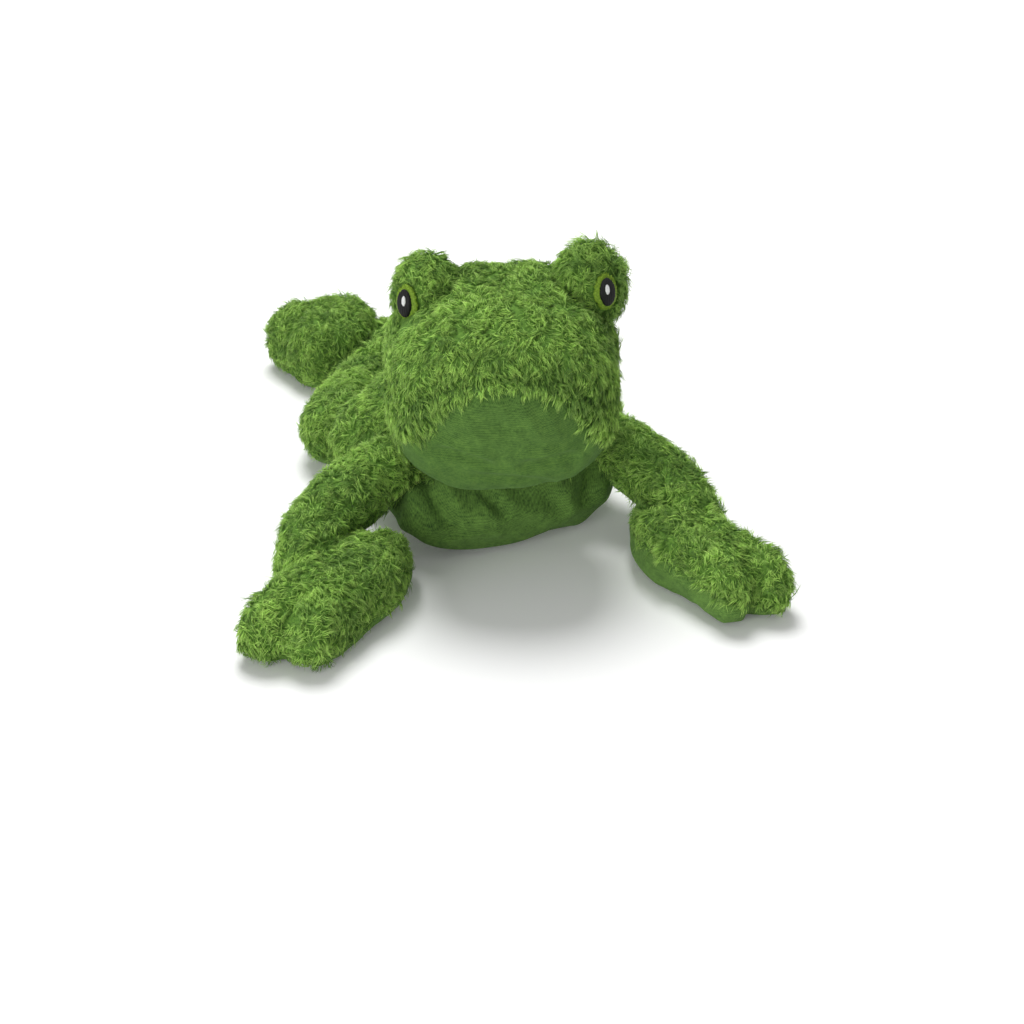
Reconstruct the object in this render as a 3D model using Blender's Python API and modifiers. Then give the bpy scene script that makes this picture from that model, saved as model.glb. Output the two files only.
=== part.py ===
# A plush frog lying on its belly with its head raised: pile covers on top, knit covers
# underneath, stuffing inside, and limbs that swing at their sewn joints.
# Metres, +Z up. The frog looks along -Y, so its own left side is at +X.
# The origin is on the flat underside of the belly.

import math

import bmesh
import bpy
from mathutils import Matrix, Vector

MM = 0.001

# Cloth and clearances
PILE_THICKNESS = 2.2 * MM
KNIT_THICKNESS = 2.2 * MM
STUFFING_CLEARANCE = 0.9 * MM
PAW_STUFFING_CLEARANCE = 1.3 * MM
SEAM_GAP = 0.4 * MM
JOINT_GAP = 0.6 * MM
FLAT_DEPTH = 2.1 * MM
CUT_OVERRUN = 200 * MM

# Torso: rings along a bent spine
TORSO_LENGTH = 180 * MM
TORSO_WIDTH = 136 * MM
TORSO_HEIGHT = 62 * MM
CHEST_TURN = math.radians(18)
# along, across, width, height, lift of the underside, turn of the ring
TORSO_RING_SHARES = [
    (-0.425, -0.003, 0.57, 0.46, 0.06, 1.0),
    (-0.320, 0.018, 0.82, 0.74, 0.0, 0.95),
    (-0.170, -0.020, 0.93, 0.92, 0.0, 0.85),
    (-0.010, -0.115, 0.99, 1.00, 0.0, 0.65),
    (0.160, -0.140, 0.70, 0.95, 0.0, 0.45),
    (0.340, -0.135, 0.50, 0.78, 0.0, 0.3),
    (0.500, -0.125, 0.32, 0.55, 0.04, 0.2),
]
TORSO_FRONT_SHARES = (-0.465, -0.010, 0.30)
TORSO_REAR_SHARES = (0.570, -0.115, 0.32)
TORSO_ROUNDNESS = 0.92
BELLY_SEAM_HEIGHT = 15 * MM
CHEST_SEAM_HEIGHT = 45 * MM
CHEST_SEAM_FRONT = 62 * MM
CHEST_SEAM_BACK = 24 * MM

# Head: rings from the snout back, before it is rolled
HEAD_LENGTH = 112 * MM
HEAD_WIDTH = 112 * MM
HEAD_HEIGHT = 96 * MM
HEAD_CENTRE = Vector((3 * MM, -64 * MM, 90 * MM))
HEAD_ROLL = math.radians(3)
# along, width, top, underside, both as shares of the head's height about its centre
HEAD_RING_SHARES = [
    (-0.450, 0.52, 0.25, -0.18),
    (-0.325, 0.84, 0.39, -0.41),
    (-0.100, 0.99, 0.49, -0.48),
    (0.130, 1.00, 0.52, -0.42),
    (0.330, 0.90, 0.485, -0.275),
    (0.440, 0.60, 0.365, -0.09),
]
HEAD_FRONT_SHARES = (-0.505, 0.07)
HEAD_BACK_SHARES = (0.490, 0.12)
HEAD_ROUNDNESS = 0.80
MOUTH_RISE = 21 * MM
MOUTH_SETBACK = 9 * MM
MOUTH_SLOPE = math.radians(57)

# Neck: a stuffed ball that the head turns and nods on
NECK_RADIUS = 23 * MM
NECK_PLACE = Vector((3 * MM, -50 * MM, 60 * MM))

# Eye mounds and embroidered eyes, on each side of the head
MOUND_RADIUS = 18 * MM
MOUND_STRETCH_SHARE = 1.3
MOUND_SPREADS = {"left": 43.5 * MM, "right": 33.5 * MM}
MOUND_RISES = {"left": 38.5 * MM, "right": 37 * MM}
MOUND_BACK = 20 * MM
EYE_BEARINGS = {"left": math.radians(32), "right": math.radians(30)}
EYE_ELEVATION = math.radians(10)
IRIS_WIDTH = 13 * MM
IRIS_HEIGHT = 18.5 * MM
PUPIL_WIDTH = 7.8 * MM
PUPIL_HEIGHT = 13.2 * MM
GLINT_WIDTH = 2.0 * MM
GLINT_HEIGHT = 4.4 * MM
GLINT_RISE = 1.6 * MM
GLINT_SIDE = 0.6 * MM
THREAD_THICKNESS = 0.9 * MM
THREAD_GAP = 0.35 * MM
OVAL_SHARES = (0.55, 1)

# Arms: bent tapered bags, shoulder to wrist
ARM_ROOT_RADIUS = 17 * MM
ARM_MIDDLE_RADIUS = 19 * MM
ARM_END_RADIUS = 16 * MM
ARM_SHOULDERS = {
    "left": Vector((58 * MM, -30 * MM, 36 * MM)),
    "right": Vector((-53 * MM, -56 * MM, 37 * MM)),
}
ARM_ELBOWS = {
    "left": Vector((81 * MM, -53 * MM, 28 * MM)),
    "right": Vector((-82 * MM, -91 * MM, 31 * MM)),
}
ARM_WRISTS = {
    "left": Vector((94 * MM, -77 * MM, 19 * MM)),
    "right": Vector((-90 * MM, -122 * MM, 19 * MM)),
}
ARM_SEAM_SHARE = -0.35

# Hind legs: thigh from the hip to the knee, shin from the knee to the ankle
HIP_RADIUS = 21.5 * MM
KNEE_RADIUS = 16.5 * MM
ANKLE_RADIUS = 13.5 * MM
SHIN_START_RADIUS = 14 * MM
LEG_SQUASH_SHARE = 0.92
LEG_HIPS = {
    "left": Vector((43 * MM, 36 * MM, 19.3 * MM)),
    "right": Vector((-84 * MM, 23 * MM, 19.3 * MM)),
}
LEG_KNEES = {
    "left": Vector((32 * MM, 86 * MM, 14.7 * MM)),
    "right": Vector((-76 * MM, 77 * MM, 14.7 * MM)),
}
LEG_ANKLES = {
    "left": Vector((16 * MM, 134 * MM, 12 * MM)),
    "right": Vector((-64 * MM, 132 * MM, 16 * MM)),
}
LEG_SEAM_SHARE = -0.35

# Hands and feet: puffed webbed mitts with toe lobes
HAND_LENGTHS = {"left": 90 * MM, "right": 100 * MM}
HAND_THICKNESS = 34 * MM
FOOT_LENGTH = 61 * MM
FOOT_THICKNESS = 40 * MM
HAND_CENTRES = {
    "left": Vector((101 * MM, -107 * MM, 0)),
    "right": Vector((-80 * MM, -141 * MM, 0)),
}
FOOT_CENTRES = {
    "left": Vector((24 * MM, 165 * MM, 0)),
    "right": Vector((-97 * MM, 127 * MM, 0)),
}
HAND_HEADINGS = {"left": math.radians(-50), "right": math.radians(-124)}
FOOT_HEADINGS = {"left": math.radians(82), "right": math.radians(186)}
# Rims of the mitts: degrees from the heading towards the outer side, reach share of the length
HAND_RIM_SHARES = [
    (-154, 0.43),
    (-122, 0.29),
    (-94, 0.24),
    (-66, 0.27),
    (-47, 0.34),
    (-32, 0.44),
    (-19, 0.44),
    (-9, 0.40),
    (3, 0.48),
    (15, 0.51),
    (26, 0.46),
    (38, 0.34),
    (62, 0.26),
    (92, 0.24),
    (124, 0.29),
    (155, 0.43),
    (181, 0.58),
]
FOOT_RIM_SHARES = [
    (-72, 0.53),
    (-50, 0.47),
    (-27, 0.43),
    (-5, 0.48),
    (16, 0.57),
    (38, 0.52),
    (66, 0.47),
    (92, 0.49),
    (118, 0.58),
    (145, 0.56),
    (175, 0.48),
    (205, 0.45),
    (240, 0.45),
    (264, 0.47),
]
# Seam of the knit sole, at the middle of the mitt. It falls towards the toes of a hand
HAND_SEAM_HEIGHTS = {"left": 10 * MM, "right": 7.5 * MM}
HAND_SEAM_SLOPE = math.radians(5)
FOOT_SEAM_HEIGHT = 6 * MM
# Rings of a mitt from the rim: reach share and rise share of the thickness
PAW_TOP_SHARES = [(0.985, 0.55), (0.80, 0.86)]
PAW_UNDER_SHARES = [(0.93, 0.10), (0.72, -0.005)]
PAW_RIM_SHARE = 0.33

# Swings of the joints in degrees about +Z: neighbours are cut clear of them
SWING_STEP = 15
SWING_GAP = 0.7 * MM
SWING_REACH_SHARE = 5.5
THINNING = 1.5 * MM
SHOULDER_SWINGS = {"left": (-20, 20), "right": (-20, 20)}
WRIST_SWINGS = {"left": (-20, 20), "right": (-20, 20)}
HIP_SWINGS = {"left": (-35, 5), "right": (-5, 35)}
KNEE_SWINGS = {"left": (-25, 25), "right": (-20, 25)}
ANKLE_SWINGS = {"left": (-20, 20), "right": (-20, 14)}

# Finishes: material name, linear colour and roughness
FINISHES = {
    "pile": ("green_pile", (0.107, 0.217, 0.035), 0.95),
    "knit": ("green_knit", (0.067, 0.133, 0.032), 0.9),
    "filling": ("white_fibre", (0.80, 0.79, 0.75), 0.95),
    "lime": ("lime_thread", (0.20, 0.36, 0.03), 0.55),
    "black": ("black_thread", (0.012, 0.012, 0.012), 0.5),
    "white": ("white_thread", (0.85, 0.85, 0.85), 0.5),
}

# Counts
RING_SIDES = 12
LIMB_SIDES = 9
LIMB_RINGS = 4
EYE_SIDES = 12
BALL_SEGMENTS = 18
BALL_RINGS = 9
FILLING_SHARE = 0.45
# Part of its own place that a ring point keeps when the skin is smoothed
SMOOTHING_SHARE = 0.75

# Cap rings of a limb's round end, in degrees from its widest ring
CAP_ANGLES = (math.radians(28), math.radians(58))


def clear_scene():
    for obj in list(bpy.data.objects):
        bpy.data.objects.remove(obj, do_unlink=True)


def new_collection(name):
    collection = bpy.data.collections.new(name)
    bpy.context.scene.collection.children.link(collection)
    return collection


def fabric(name, colour, roughness):
    material = bpy.data.materials.new(name)
    material.use_nodes = True
    shader = material.node_tree.nodes["Principled BSDF"]
    shader.inputs["Base Color"].default_value = (*colour, 1)
    shader.inputs["Roughness"].default_value = roughness
    shader.inputs["Metallic"].default_value = 0
    material.diffuse_color = (*colour, 1)
    return material


def signed_power(value, power):
    return math.copysign(abs(value) ** power, value)


def loft(name, rings, front, back):
    """A closed mesh through rings of equal counts, closed by a point at each end."""
    shape = bmesh.new()
    loops = [[shape.verts.new(point) for point in ring] for ring in rings]
    tips = [shape.verts.new(front), shape.verts.new(back)]
    sides = len(loops[0])
    for first, second in zip(loops, loops[1:]):
        for k in range(sides):
            after = (k + 1) % sides
            shape.faces.new((first[k], first[after], second[after], second[k]))
    for k in range(sides):
        after = (k + 1) % sides
        shape.faces.new((tips[0], loops[0][after], loops[0][k]))
        shape.faces.new((tips[1], loops[-1][k], loops[-1][after]))
    bmesh.ops.recalc_face_normals(shape, faces=shape.faces)
    mesh = bpy.data.meshes.new(name)
    shape.to_mesh(mesh)
    shape.free()
    mesh.shade_smooth()
    return mesh


def squared_ring(centre, across, up, half_width, rise, drop, roundness, sides):
    """A rounded oval: half_width each way along across, rise up and drop down."""
    points = []
    for k in range(sides):
        angle = math.tau * (k + 0.5) / sides
        side = signed_power(math.cos(angle), roundness) * half_width
        lift = signed_power(math.sin(angle), roundness)
        points.append(centre + across * side + up * lift * (rise if lift > 0 else drop))
    return points


def smoothing_swell(sides):
    """How much wider a cage is than the once-subdivided ring inside it."""
    kept = SMOOTHING_SHARE + (1 - SMOOTHING_SHARE) * math.cos(math.tau / sides)
    return 1 / kept


def torso_mesh():
    swell = smoothing_swell(RING_SIDES)
    up = Vector((0, 0, 1))
    rings = []
    for along, across, width, height, lift, turn in TORSO_RING_SHARES:
        bearing = CHEST_TURN * turn
        sideways = Vector((math.cos(bearing), math.sin(bearing), 0))
        half = TORSO_HEIGHT * height / 2
        under = TORSO_HEIGHT * lift - FLAT_DEPTH
        centre = Vector((TORSO_LENGTH * across, TORSO_LENGTH * along, under + half))
        rings.append(
            squared_ring(
                centre,
                sideways,
                up,
                TORSO_WIDTH * width / 2 * swell,
                half * swell,
                half * swell,
                TORSO_ROUNDNESS,
                RING_SIDES,
            )
        )
    tips = []
    for along, across, height in (TORSO_FRONT_SHARES, TORSO_REAR_SHARES):
        tips.append(Vector((TORSO_LENGTH * across, TORSO_LENGTH * along, TORSO_HEIGHT * height)))
    return loft("torso_form", rings, tips[0], tips[1])


def head_placing():
    """Rolls the head about a lengthwise line through the neck."""
    to_neck = Matrix.Translation(NECK_PLACE)
    return to_neck @ Matrix.Rotation(-HEAD_ROLL, 4, "Y") @ to_neck.inverted()


def head_mesh():
    swell = smoothing_swell(RING_SIDES)
    across = Vector((1, 0, 0))
    up = Vector((0, 0, 1))
    rings = []
    for along, width, top, under in HEAD_RING_SHARES:
        middle = (top + under) / 2
        half = HEAD_HEIGHT * (top - under) / 2
        centre = HEAD_CENTRE + Vector((0, HEAD_LENGTH * along, HEAD_HEIGHT * middle))
        rings.append(
            squared_ring(
                centre,
                across,
                up,
                HEAD_WIDTH * width / 2 * swell,
                half * swell,
                half * swell,
                HEAD_ROUNDNESS,
                RING_SIDES,
            )
        )
    tips = []
    for along, rise in (HEAD_FRONT_SHARES, HEAD_BACK_SHARES):
        tips.append(HEAD_CENTRE + Vector((0, HEAD_LENGTH * along, HEAD_HEIGHT * rise)))
    mesh = loft("head_form", rings, tips[0], tips[1])
    mesh.transform(head_placing())
    return mesh


def limb_path(start, middle, finish):
    """Points and headings along a smooth bend from start through middle to finish."""
    bend = middle * 2 - (start + finish) / 2
    stations = []
    for k in range(LIMB_RINGS):
        t = k / (LIMB_RINGS - 1)
        point = start * (1 - t) ** 2 + bend * 2 * t * (1 - t) + finish * t**2
        heading = ((bend - start) * (1 - t) + (finish - bend) * t).normalized()
        stations.append((t, point, heading))
    return stations


def limb_mesh(name, path, radii, squash):
    """A bent bag with a round end about each end of its path.

    The rings lie square to the path, and squash flattens them in height.
    """
    up = Vector((0, 0, 1))
    rings = []
    for t, point, heading in limb_path(*path):
        radius = radii[0] * (1 - t) ** 2 + radii[1] * 2 * t * (1 - t) + radii[2] * t**2
        rings.append((point, heading, radius))
    start, finish = rings[0], rings[-1]
    for angle in CAP_ANGLES:
        for (point, heading, radius), way in ((start, -1), (finish, 1)):
            centre = point + heading * radius * math.sin(angle) * way
            ring = (centre, heading, radius * math.cos(angle))
            rings.insert(0 if way < 0 else len(rings), ring)
    loops = []
    for centre, heading, radius in rings:
        across = heading.cross(up).normalized()
        lift = across.cross(heading).normalized()
        height = radius * squash
        loops.append(
            squared_ring(centre, across, lift, radius, height, height, 1, LIMB_SIDES)
        )
    front = start[0] - start[1] * start[2]
    back = finish[0] + finish[1] * finish[2]
    return loft(name, loops, front, back)


def paw_mesh(name, centre, heading, mirror, length, thickness, rim):
    """A puffed mitt: rings of its toed outline, drawn in towards the crown and the sole."""
    profile = [(share, rise) for share, rise in reversed(PAW_TOP_SHARES)]
    profile.append((1, PAW_RIM_SHARE))
    profile.extend(PAW_UNDER_SHARES)
    loops = []
    for share, rise in profile:
        ring = []
        for bearing, reach in rim:
            angle = heading + math.radians(bearing) * mirror
            offset = Vector((math.cos(angle), math.sin(angle), 0)) * length * reach * share
            ring.append(centre + offset + Vector((0, 0, thickness * rise)))
        loops.append(ring)
    crown = centre + Vector((0, 0, thickness))
    sole = centre + Vector((0, 0, -FLAT_DEPTH))
    return loft(name, loops, crown, sole)


def block(name, frame, low, high, collection):
    """A box from low to high in the axes of frame, used as a cutter."""
    shape = bmesh.new()
    bmesh.ops.create_cube(shape, size=1)
    middle = (low + high) / 2
    size = high - low
    spread = Matrix.Diagonal((size.x, size.y, size.z, 1))
    placing = frame @ Matrix.Translation(middle) @ spread
    bmesh.ops.transform(shape, matrix=placing, verts=shape.verts)
    return cutter_from(name, shape, collection)


def ball(name, centre, radius, height, collection):
    """A ball squashed to a half height, used as a cutter for the cup at a joint."""
    shape = bmesh.new()
    bmesh.ops.create_uvsphere(shape, u_segments=BALL_SEGMENTS, v_segments=BALL_RINGS, radius=1)
    spread = Matrix.Diagonal((radius, radius, height, 1))
    bmesh.ops.transform(shape, matrix=Matrix.Translation(centre) @ spread, verts=shape.verts)
    return cutter_from(name, shape, collection)


def extruded(name, outline, low, high, frame, collection):
    """A flat outline in the local YZ plane, carried along local X from low to high."""
    shape = bmesh.new()
    corners = [shape.verts.new(Vector((low, y, z))) for y, z in outline]
    face = shape.faces.new(corners)
    grown = bmesh.ops.extrude_face_region(shape, geom=[face])
    moved = [item for item in grown["geom"] if isinstance(item, bmesh.types.BMVert)]
    bmesh.ops.translate(shape, verts=moved, vec=Vector((high - low, 0, 0)))
    bmesh.ops.transform(shape, matrix=frame, verts=shape.verts)
    return cutter_from(name, shape, collection)


def cutter_from(name, shape, collection):
    bmesh.ops.recalc_face_normals(shape, faces=shape.faces)
    mesh = bpy.data.meshes.new(name)
    shape.to_mesh(mesh)
    shape.free()
    return add_cutter(name, mesh, collection)


def add_cutter(name, mesh, collection):
    cutter = bpy.data.objects.new(name, mesh)
    cutter.display_type = "WIRE"
    cutter.hide_render = True
    collection.objects.link(cutter)
    return cutter


def add_piece(name, mesh, material, pivot, parts):
    """A named piece whose origin is on its joint."""
    piece = bpy.data.objects.new(name, mesh.copy())
    piece.data.name = name
    piece.data.transform(Matrix.Translation(-pivot))
    piece.location = pivot
    piece.data.materials.clear()
    piece.data.materials.append(material)
    parts.objects.link(piece)
    return piece


def subdivide(piece):
    smooth = piece.modifiers.new("smooth", "SUBSURF")
    smooth.levels = 1
    smooth.render_levels = 1


def thicken(piece, thickness):
    cloth = piece.modifiers.new("cloth", "SOLIDIFY")
    cloth.thickness = thickness
    cloth.offset = -1
    cloth.use_even_offset = True


def shrink(piece, depth):
    inner = piece.modifiers.new("inner", "DISPLACE")
    inner.direction = "NORMAL"
    inner.mid_level = 0
    inner.strength = -depth


def coarsen(piece):
    """Stuffing is held to its cover loosely, so it takes fewer facets."""
    coarse = piece.modifiers.new("coarse", "DECIMATE")
    coarse.ratio = FILLING_SHARE


def boolean(piece, operation, cutter):
    cut = piece.modifiers.new(operation.lower(), "BOOLEAN")
    cut.operation = operation
    cut.solver = "EXACT"
    if isinstance(cutter, bpy.types.Collection):
        cut.operand_type = "COLLECTION"
        cut.collection = cutter
    else:
        cut.object = cutter


class Bag:
    """A sewn bag: a cover over an under cover, with stuffing inside, cut to its neighbours."""

    def __init__(self, mesh, pivot, smoothed, parts, cutters):
        self.mesh = mesh
        self.pivot = pivot
        self.smoothed = smoothed
        self.parts = parts
        self.cuts = bpy.data.collections.new(mesh.name + "_cuts")
        cutters.children.link(self.cuts)

    def cover(self, name, material, thickness, side):
        piece = add_piece(name, self.mesh, material, self.pivot, self.parts)
        if self.smoothed:
            subdivide(piece)
        thicken(piece, thickness)
        boolean(piece, "INTERSECT", side)
        boolean(piece, "DIFFERENCE", self.cuts)

    def clear_swing(self, form, pivot, radius, swing, facing=1):
        """Cuts this bag clear of the root of another form that swings about an upright line.

        Facing is 1 where the other form swings, and -1 where this bag does. The cut is the
        hull of the root at steps of the swing, grown by the swing gap.
        """
        low, high = swing
        steps = math.ceil((high - low) / SWING_STEP)
        near = [v.co for v in form.vertices if (v.co - pivot).length < radius * SWING_REACH_SHARE]
        shape = bmesh.new()
        for step in range(steps + 1):
            angle = math.radians(low + (high - low) * step / steps) * facing
            turn = Matrix.Rotation(angle, 4, "Z")
            for point in near:
                shape.verts.new(pivot + turn @ (point - pivot))
        bmesh.ops.remove_doubles(shape, verts=shape.verts, dist=THINNING)
        hull = bmesh.ops.convex_hull(shape, input=shape.verts)
        inside = [item for item in hull["geom_interior"] if isinstance(item, bmesh.types.BMVert)]
        bmesh.ops.delete(shape, geom=inside, context="VERTS")
        cutter = cutter_from(form.name + "_swing", shape, self.cuts)
        shrink(cutter, -SWING_GAP)

    def filling(self, name, material, depth):
        piece = add_piece(name, self.mesh, material, self.pivot, self.parts)
        if self.smoothed:
            subdivide(piece)
        shrink(piece, depth)
        if self.smoothed:
            coarsen(piece)
        boolean(piece, "DIFFERENCE", self.cuts)


def seam_sides(name, frame, cutters):
    """The two blocks above and below a flat seam, half a seam gap from it."""
    reach = CUT_OVERRUN
    above = block(
        name + "_above",
        frame,
        Vector((-reach, -reach, SEAM_GAP / 2)),
        Vector((reach, reach, reach)),
        cutters,
    )
    below = block(
        name + "_below",
        frame,
        Vector((-reach, -reach, -reach)),
        Vector((reach, reach, -SEAM_GAP / 2)),
        cutters,
    )
    return above, below


def belly_sides(cutters):
    """The blocks above and below the belly seam, which climbs at the chest."""
    frame = Matrix.Rotation(CHEST_TURN, 4, "Z")
    reach = CUT_OVERRUN
    line = [
        (reach, BELLY_SEAM_HEIGHT),
        (-CHEST_SEAM_BACK, BELLY_SEAM_HEIGHT),
        (-CHEST_SEAM_FRONT, CHEST_SEAM_HEIGHT),
        (-reach, CHEST_SEAM_HEIGHT),
    ]
    half = SEAM_GAP / 2
    upper = [(y, z + half) for y, z in line] + [(-reach, reach), (reach, reach)]
    lower = [(y, z - half) for y, z in line] + [(-reach, -reach), (reach, -reach)]
    above = extruded("belly_above", upper, -reach, reach, frame, cutters)
    below = extruded("belly_below", lower, -reach, reach, frame, cutters)
    return above, below


def mouth_frame():
    """Axes whose XY plane is the mouth seam, with Z towards the crown."""
    front = HEAD_CENTRE + Vector((0, HEAD_LENGTH * HEAD_FRONT_SHARES[0], 0))
    place = front + Vector((0, MOUTH_SETBACK, MOUTH_RISE))
    return head_placing() @ Matrix.Translation(place) @ Matrix.Rotation(-MOUTH_SLOPE, 4, "X")


def limb_frame(start, finish, drop):
    """Axes along a limb, with X ahead, and the seam plane a drop below the path."""
    ahead = (finish - start).normalized()
    across = Vector((0, 0, 1)).cross(ahead).normalized()
    up = ahead.cross(across).normalized()
    place = start + up * drop
    frame = Matrix((ahead, across, up)).transposed().to_4x4()
    return Matrix.Translation(place) @ frame


def eye_axes(side, bearing):
    """The outward line of an eye, its upward line and its sideways line."""
    out = Vector(
        (
            side * math.sin(bearing) * math.cos(EYE_ELEVATION),
            -math.cos(bearing) * math.cos(EYE_ELEVATION),
            math.sin(EYE_ELEVATION),
        )
    )
    across = Vector((0, 0, 1)).cross(out).normalized()
    up = out.cross(across).normalized()
    return out, across, up


def mound_centre(name, side):
    return HEAD_CENTRE + Vector((side * MOUND_SPREADS[name], MOUND_BACK, MOUND_RISES[name]))


def mound_placing(centre):
    """Stretches an eye mound upwards about its centre, and rolls it with the head."""
    stretch = Matrix.Diagonal((1, 1, MOUND_STRETCH_SHARE, 1))
    return head_placing() @ Matrix.Translation(centre) @ stretch @ Matrix.Translation(-centre)


def oval_patch(name, axes, centre, lift, width, height, shift, material, seat, parts):
    """An embroidered oval that follows the eye mound, a lift above it."""
    out, across, up = axes
    inner = MOUND_RADIUS + lift
    outer = inner + THREAD_THICKNESS
    loops = []
    middle, rim = OVAL_SHARES
    for radius, share in ((inner, middle), (inner, rim), (outer, rim), (outer, middle)):
        ring = []
        for k in range(EYE_SIDES):
            angle = math.tau * k / EYE_SIDES
            x = shift[0] + math.cos(angle) * width / 2 * share
            y = shift[1] + math.sin(angle) * height / 2 * share / MOUND_STRETCH_SHARE
            rise = math.sqrt(radius * radius - x * x - y * y)
            ring.append(centre + across * x + up * y + out * rise)
        loops.append(ring)
    tips = []
    for radius in (inner, outer):
        rise = math.sqrt(radius * radius - shift[0] ** 2 - shift[1] ** 2)
        tips.append(centre + across * shift[0] + up * shift[1] + out * rise)
    mesh = loft(name, loops, tips[0], tips[1])
    mesh.transform(mound_placing(centre))
    patch = add_piece(name, mesh, material, NECK_PLACE, parts)
    boolean(patch, "DIFFERENCE", seat)


def build_torso(parts, cutters, floor, colours):
    mesh = torso_mesh()
    bag = Bag(mesh, Vector((0, 0, 0)), True, parts, cutters)
    above, below = belly_sides(cutters)
    bag.cover("back_cover", colours["pile"], PILE_THICKNESS, above)
    bag.cover("belly_cover", colours["knit"], KNIT_THICKNESS, below)
    bag.filling("body_filling", colours["filling"], PILE_THICKNESS + STUFFING_CLEARANCE)
    bag.cuts.objects.link(floor)
    ball("neck_socket", NECK_PLACE, NECK_RADIUS + JOINT_GAP, NECK_RADIUS + JOINT_GAP, bag.cuts)
    return bag


def build_head(parts, cutters, colours):
    neck_mesh = bpy.data.meshes.new("neck_form")
    shape = bmesh.new()
    bmesh.ops.create_uvsphere(
        shape, u_segments=BALL_SEGMENTS, v_segments=BALL_RINGS, radius=NECK_RADIUS
    )
    bmesh.ops.translate(shape, verts=shape.verts, vec=NECK_PLACE)
    shape.to_mesh(neck_mesh)
    shape.free()
    neck_mesh.shade_smooth()
    add_piece("neck_filling", neck_mesh, colours["filling"], NECK_PLACE, parts)

    mesh = head_mesh()
    bag = Bag(mesh, NECK_PLACE, True, parts, cutters)
    above, below = seam_sides("mouth", mouth_frame(), cutters)
    bag.cover("head_crown_cover", colours["pile"], PILE_THICKNESS, above)
    bag.cover("head_chin_cover", colours["knit"], KNIT_THICKNESS, below)
    bag.filling("head_filling", colours["filling"], PILE_THICKNESS + STUFFING_CLEARANCE)
    ball("head_socket", NECK_PLACE, NECK_RADIUS + JOINT_GAP, NECK_RADIUS + JOINT_GAP, bag.cuts)

    seat = add_cutter("mound_seat", mesh.copy(), cutters)
    subdivide(seat)
    shrink(seat, -SEAM_GAP)
    for name, side in (("left", 1), ("right", -1)):
        mound = bpy.data.meshes.new(name + "_mound_form")
        shape = bmesh.new()
        bmesh.ops.create_uvsphere(
            shape, u_segments=BALL_SEGMENTS, v_segments=BALL_RINGS, radius=MOUND_RADIUS
        )
        centre = mound_centre(name, side)
        bmesh.ops.translate(shape, verts=shape.verts, vec=centre)
        shape.to_mesh(mound)
        shape.free()
        mound.shade_smooth()
        mound.transform(mound_placing(centre))
        dome = add_piece(name + "_eye_mound", mound, colours["pile"], NECK_PLACE, parts)
        boolean(dome, "DIFFERENCE", seat)
        layers = (
            ("iris", IRIS_WIDTH, IRIS_HEIGHT, (0, 0), "lime"),
            ("pupil", PUPIL_WIDTH, PUPIL_HEIGHT, (0, 0), "black"),
            ("glint", GLINT_WIDTH, GLINT_HEIGHT, (-GLINT_SIDE * side, GLINT_RISE), "white"),
        )
        axes = eye_axes(side, EYE_BEARINGS[name])
        lift = THREAD_GAP
        for layer, width, height, shift, colour in layers:
            label = f"{name}_eye_{layer}"
            material = colours[colour]
            oval_patch(label, axes, centre, lift, width, height, shift, material, seat, parts)
            lift += THREAD_THICKNESS + THREAD_GAP
    return bag


def build_limb(names, mesh, start, finish, squash_height, seam_share, parts, cutters, colours):
    bag = Bag(mesh, start, False, parts, cutters)
    frame = limb_frame(start, finish, squash_height * seam_share)
    above, below = seam_sides(mesh.name + "_seam", frame, cutters)
    bag.cover(names[0], colours["pile"], PILE_THICKNESS, above)
    bag.cover(names[1], colours["knit"], KNIT_THICKNESS, below)
    bag.filling(names[2], colours["filling"], PILE_THICKNESS + STUFFING_CLEARANCE)
    return bag


def build_arm(side, torso, parts, cutters, floor, colours):
    shoulder, elbow, wrist = ARM_SHOULDERS[side], ARM_ELBOWS[side], ARM_WRISTS[side]
    radii = [ARM_ROOT_RADIUS, ARM_MIDDLE_RADIUS, ARM_END_RADIUS]
    mesh = limb_mesh(side + "_arm_form", [shoulder, elbow, wrist], radii, 1)
    names = [f"{side}_arm_{piece}" for piece in ("cover", "under_cover", "filling")]
    bag = build_limb(
        names, mesh, shoulder, wrist, ARM_MIDDLE_RADIUS, ARM_SEAM_SHARE, parts, cutters, colours
    )
    bag.cuts.objects.link(floor)
    torso.clear_swing(mesh, shoulder, ARM_ROOT_RADIUS, SHOULDER_SWINGS[side])
    mirror = 1 if side == "left" else -1
    hand = paw_mesh(
        side + "_hand_form",
        HAND_CENTRES[side],
        HAND_HEADINGS[side],
        mirror,
        HAND_LENGTHS[side],
        HAND_THICKNESS,
        HAND_RIM_SHARES,
    )
    seam = paw_seam(
        HAND_CENTRES[side], HAND_HEADINGS[side], HAND_SEAM_HEIGHTS[side], HAND_SEAM_SLOPE
    )
    paw = build_paw(side + "_hand", hand, wrist, seam, parts, cutters, floor, colours)
    paw.clear_swing(mesh, wrist, ARM_END_RADIUS, WRIST_SWINGS[side], -1)


def paw_seam(centre, heading, height, slope):
    """Axes whose XY plane is the seam of a sole, with X towards the toes and down the slope."""
    turn = Matrix.Rotation(heading, 4, "Z") @ Matrix.Rotation(slope, 4, "Y")
    return Matrix.Translation(centre + Vector((0, 0, height))) @ turn


def build_paw(name, mesh, joint, seam, parts, cutters, floor, colours):
    bag = Bag(mesh, joint, False, parts, cutters)
    above, below = seam_sides(name + "_seam", seam, cutters)
    bag.cover(name + "_cover", colours["pile"], PILE_THICKNESS, above)
    bag.cover(name + "_sole", colours["knit"], KNIT_THICKNESS, below)
    bag.filling(name + "_filling", colours["filling"], PILE_THICKNESS + PAW_STUFFING_CLEARANCE)
    bag.cuts.objects.link(floor)
    return bag


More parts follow.
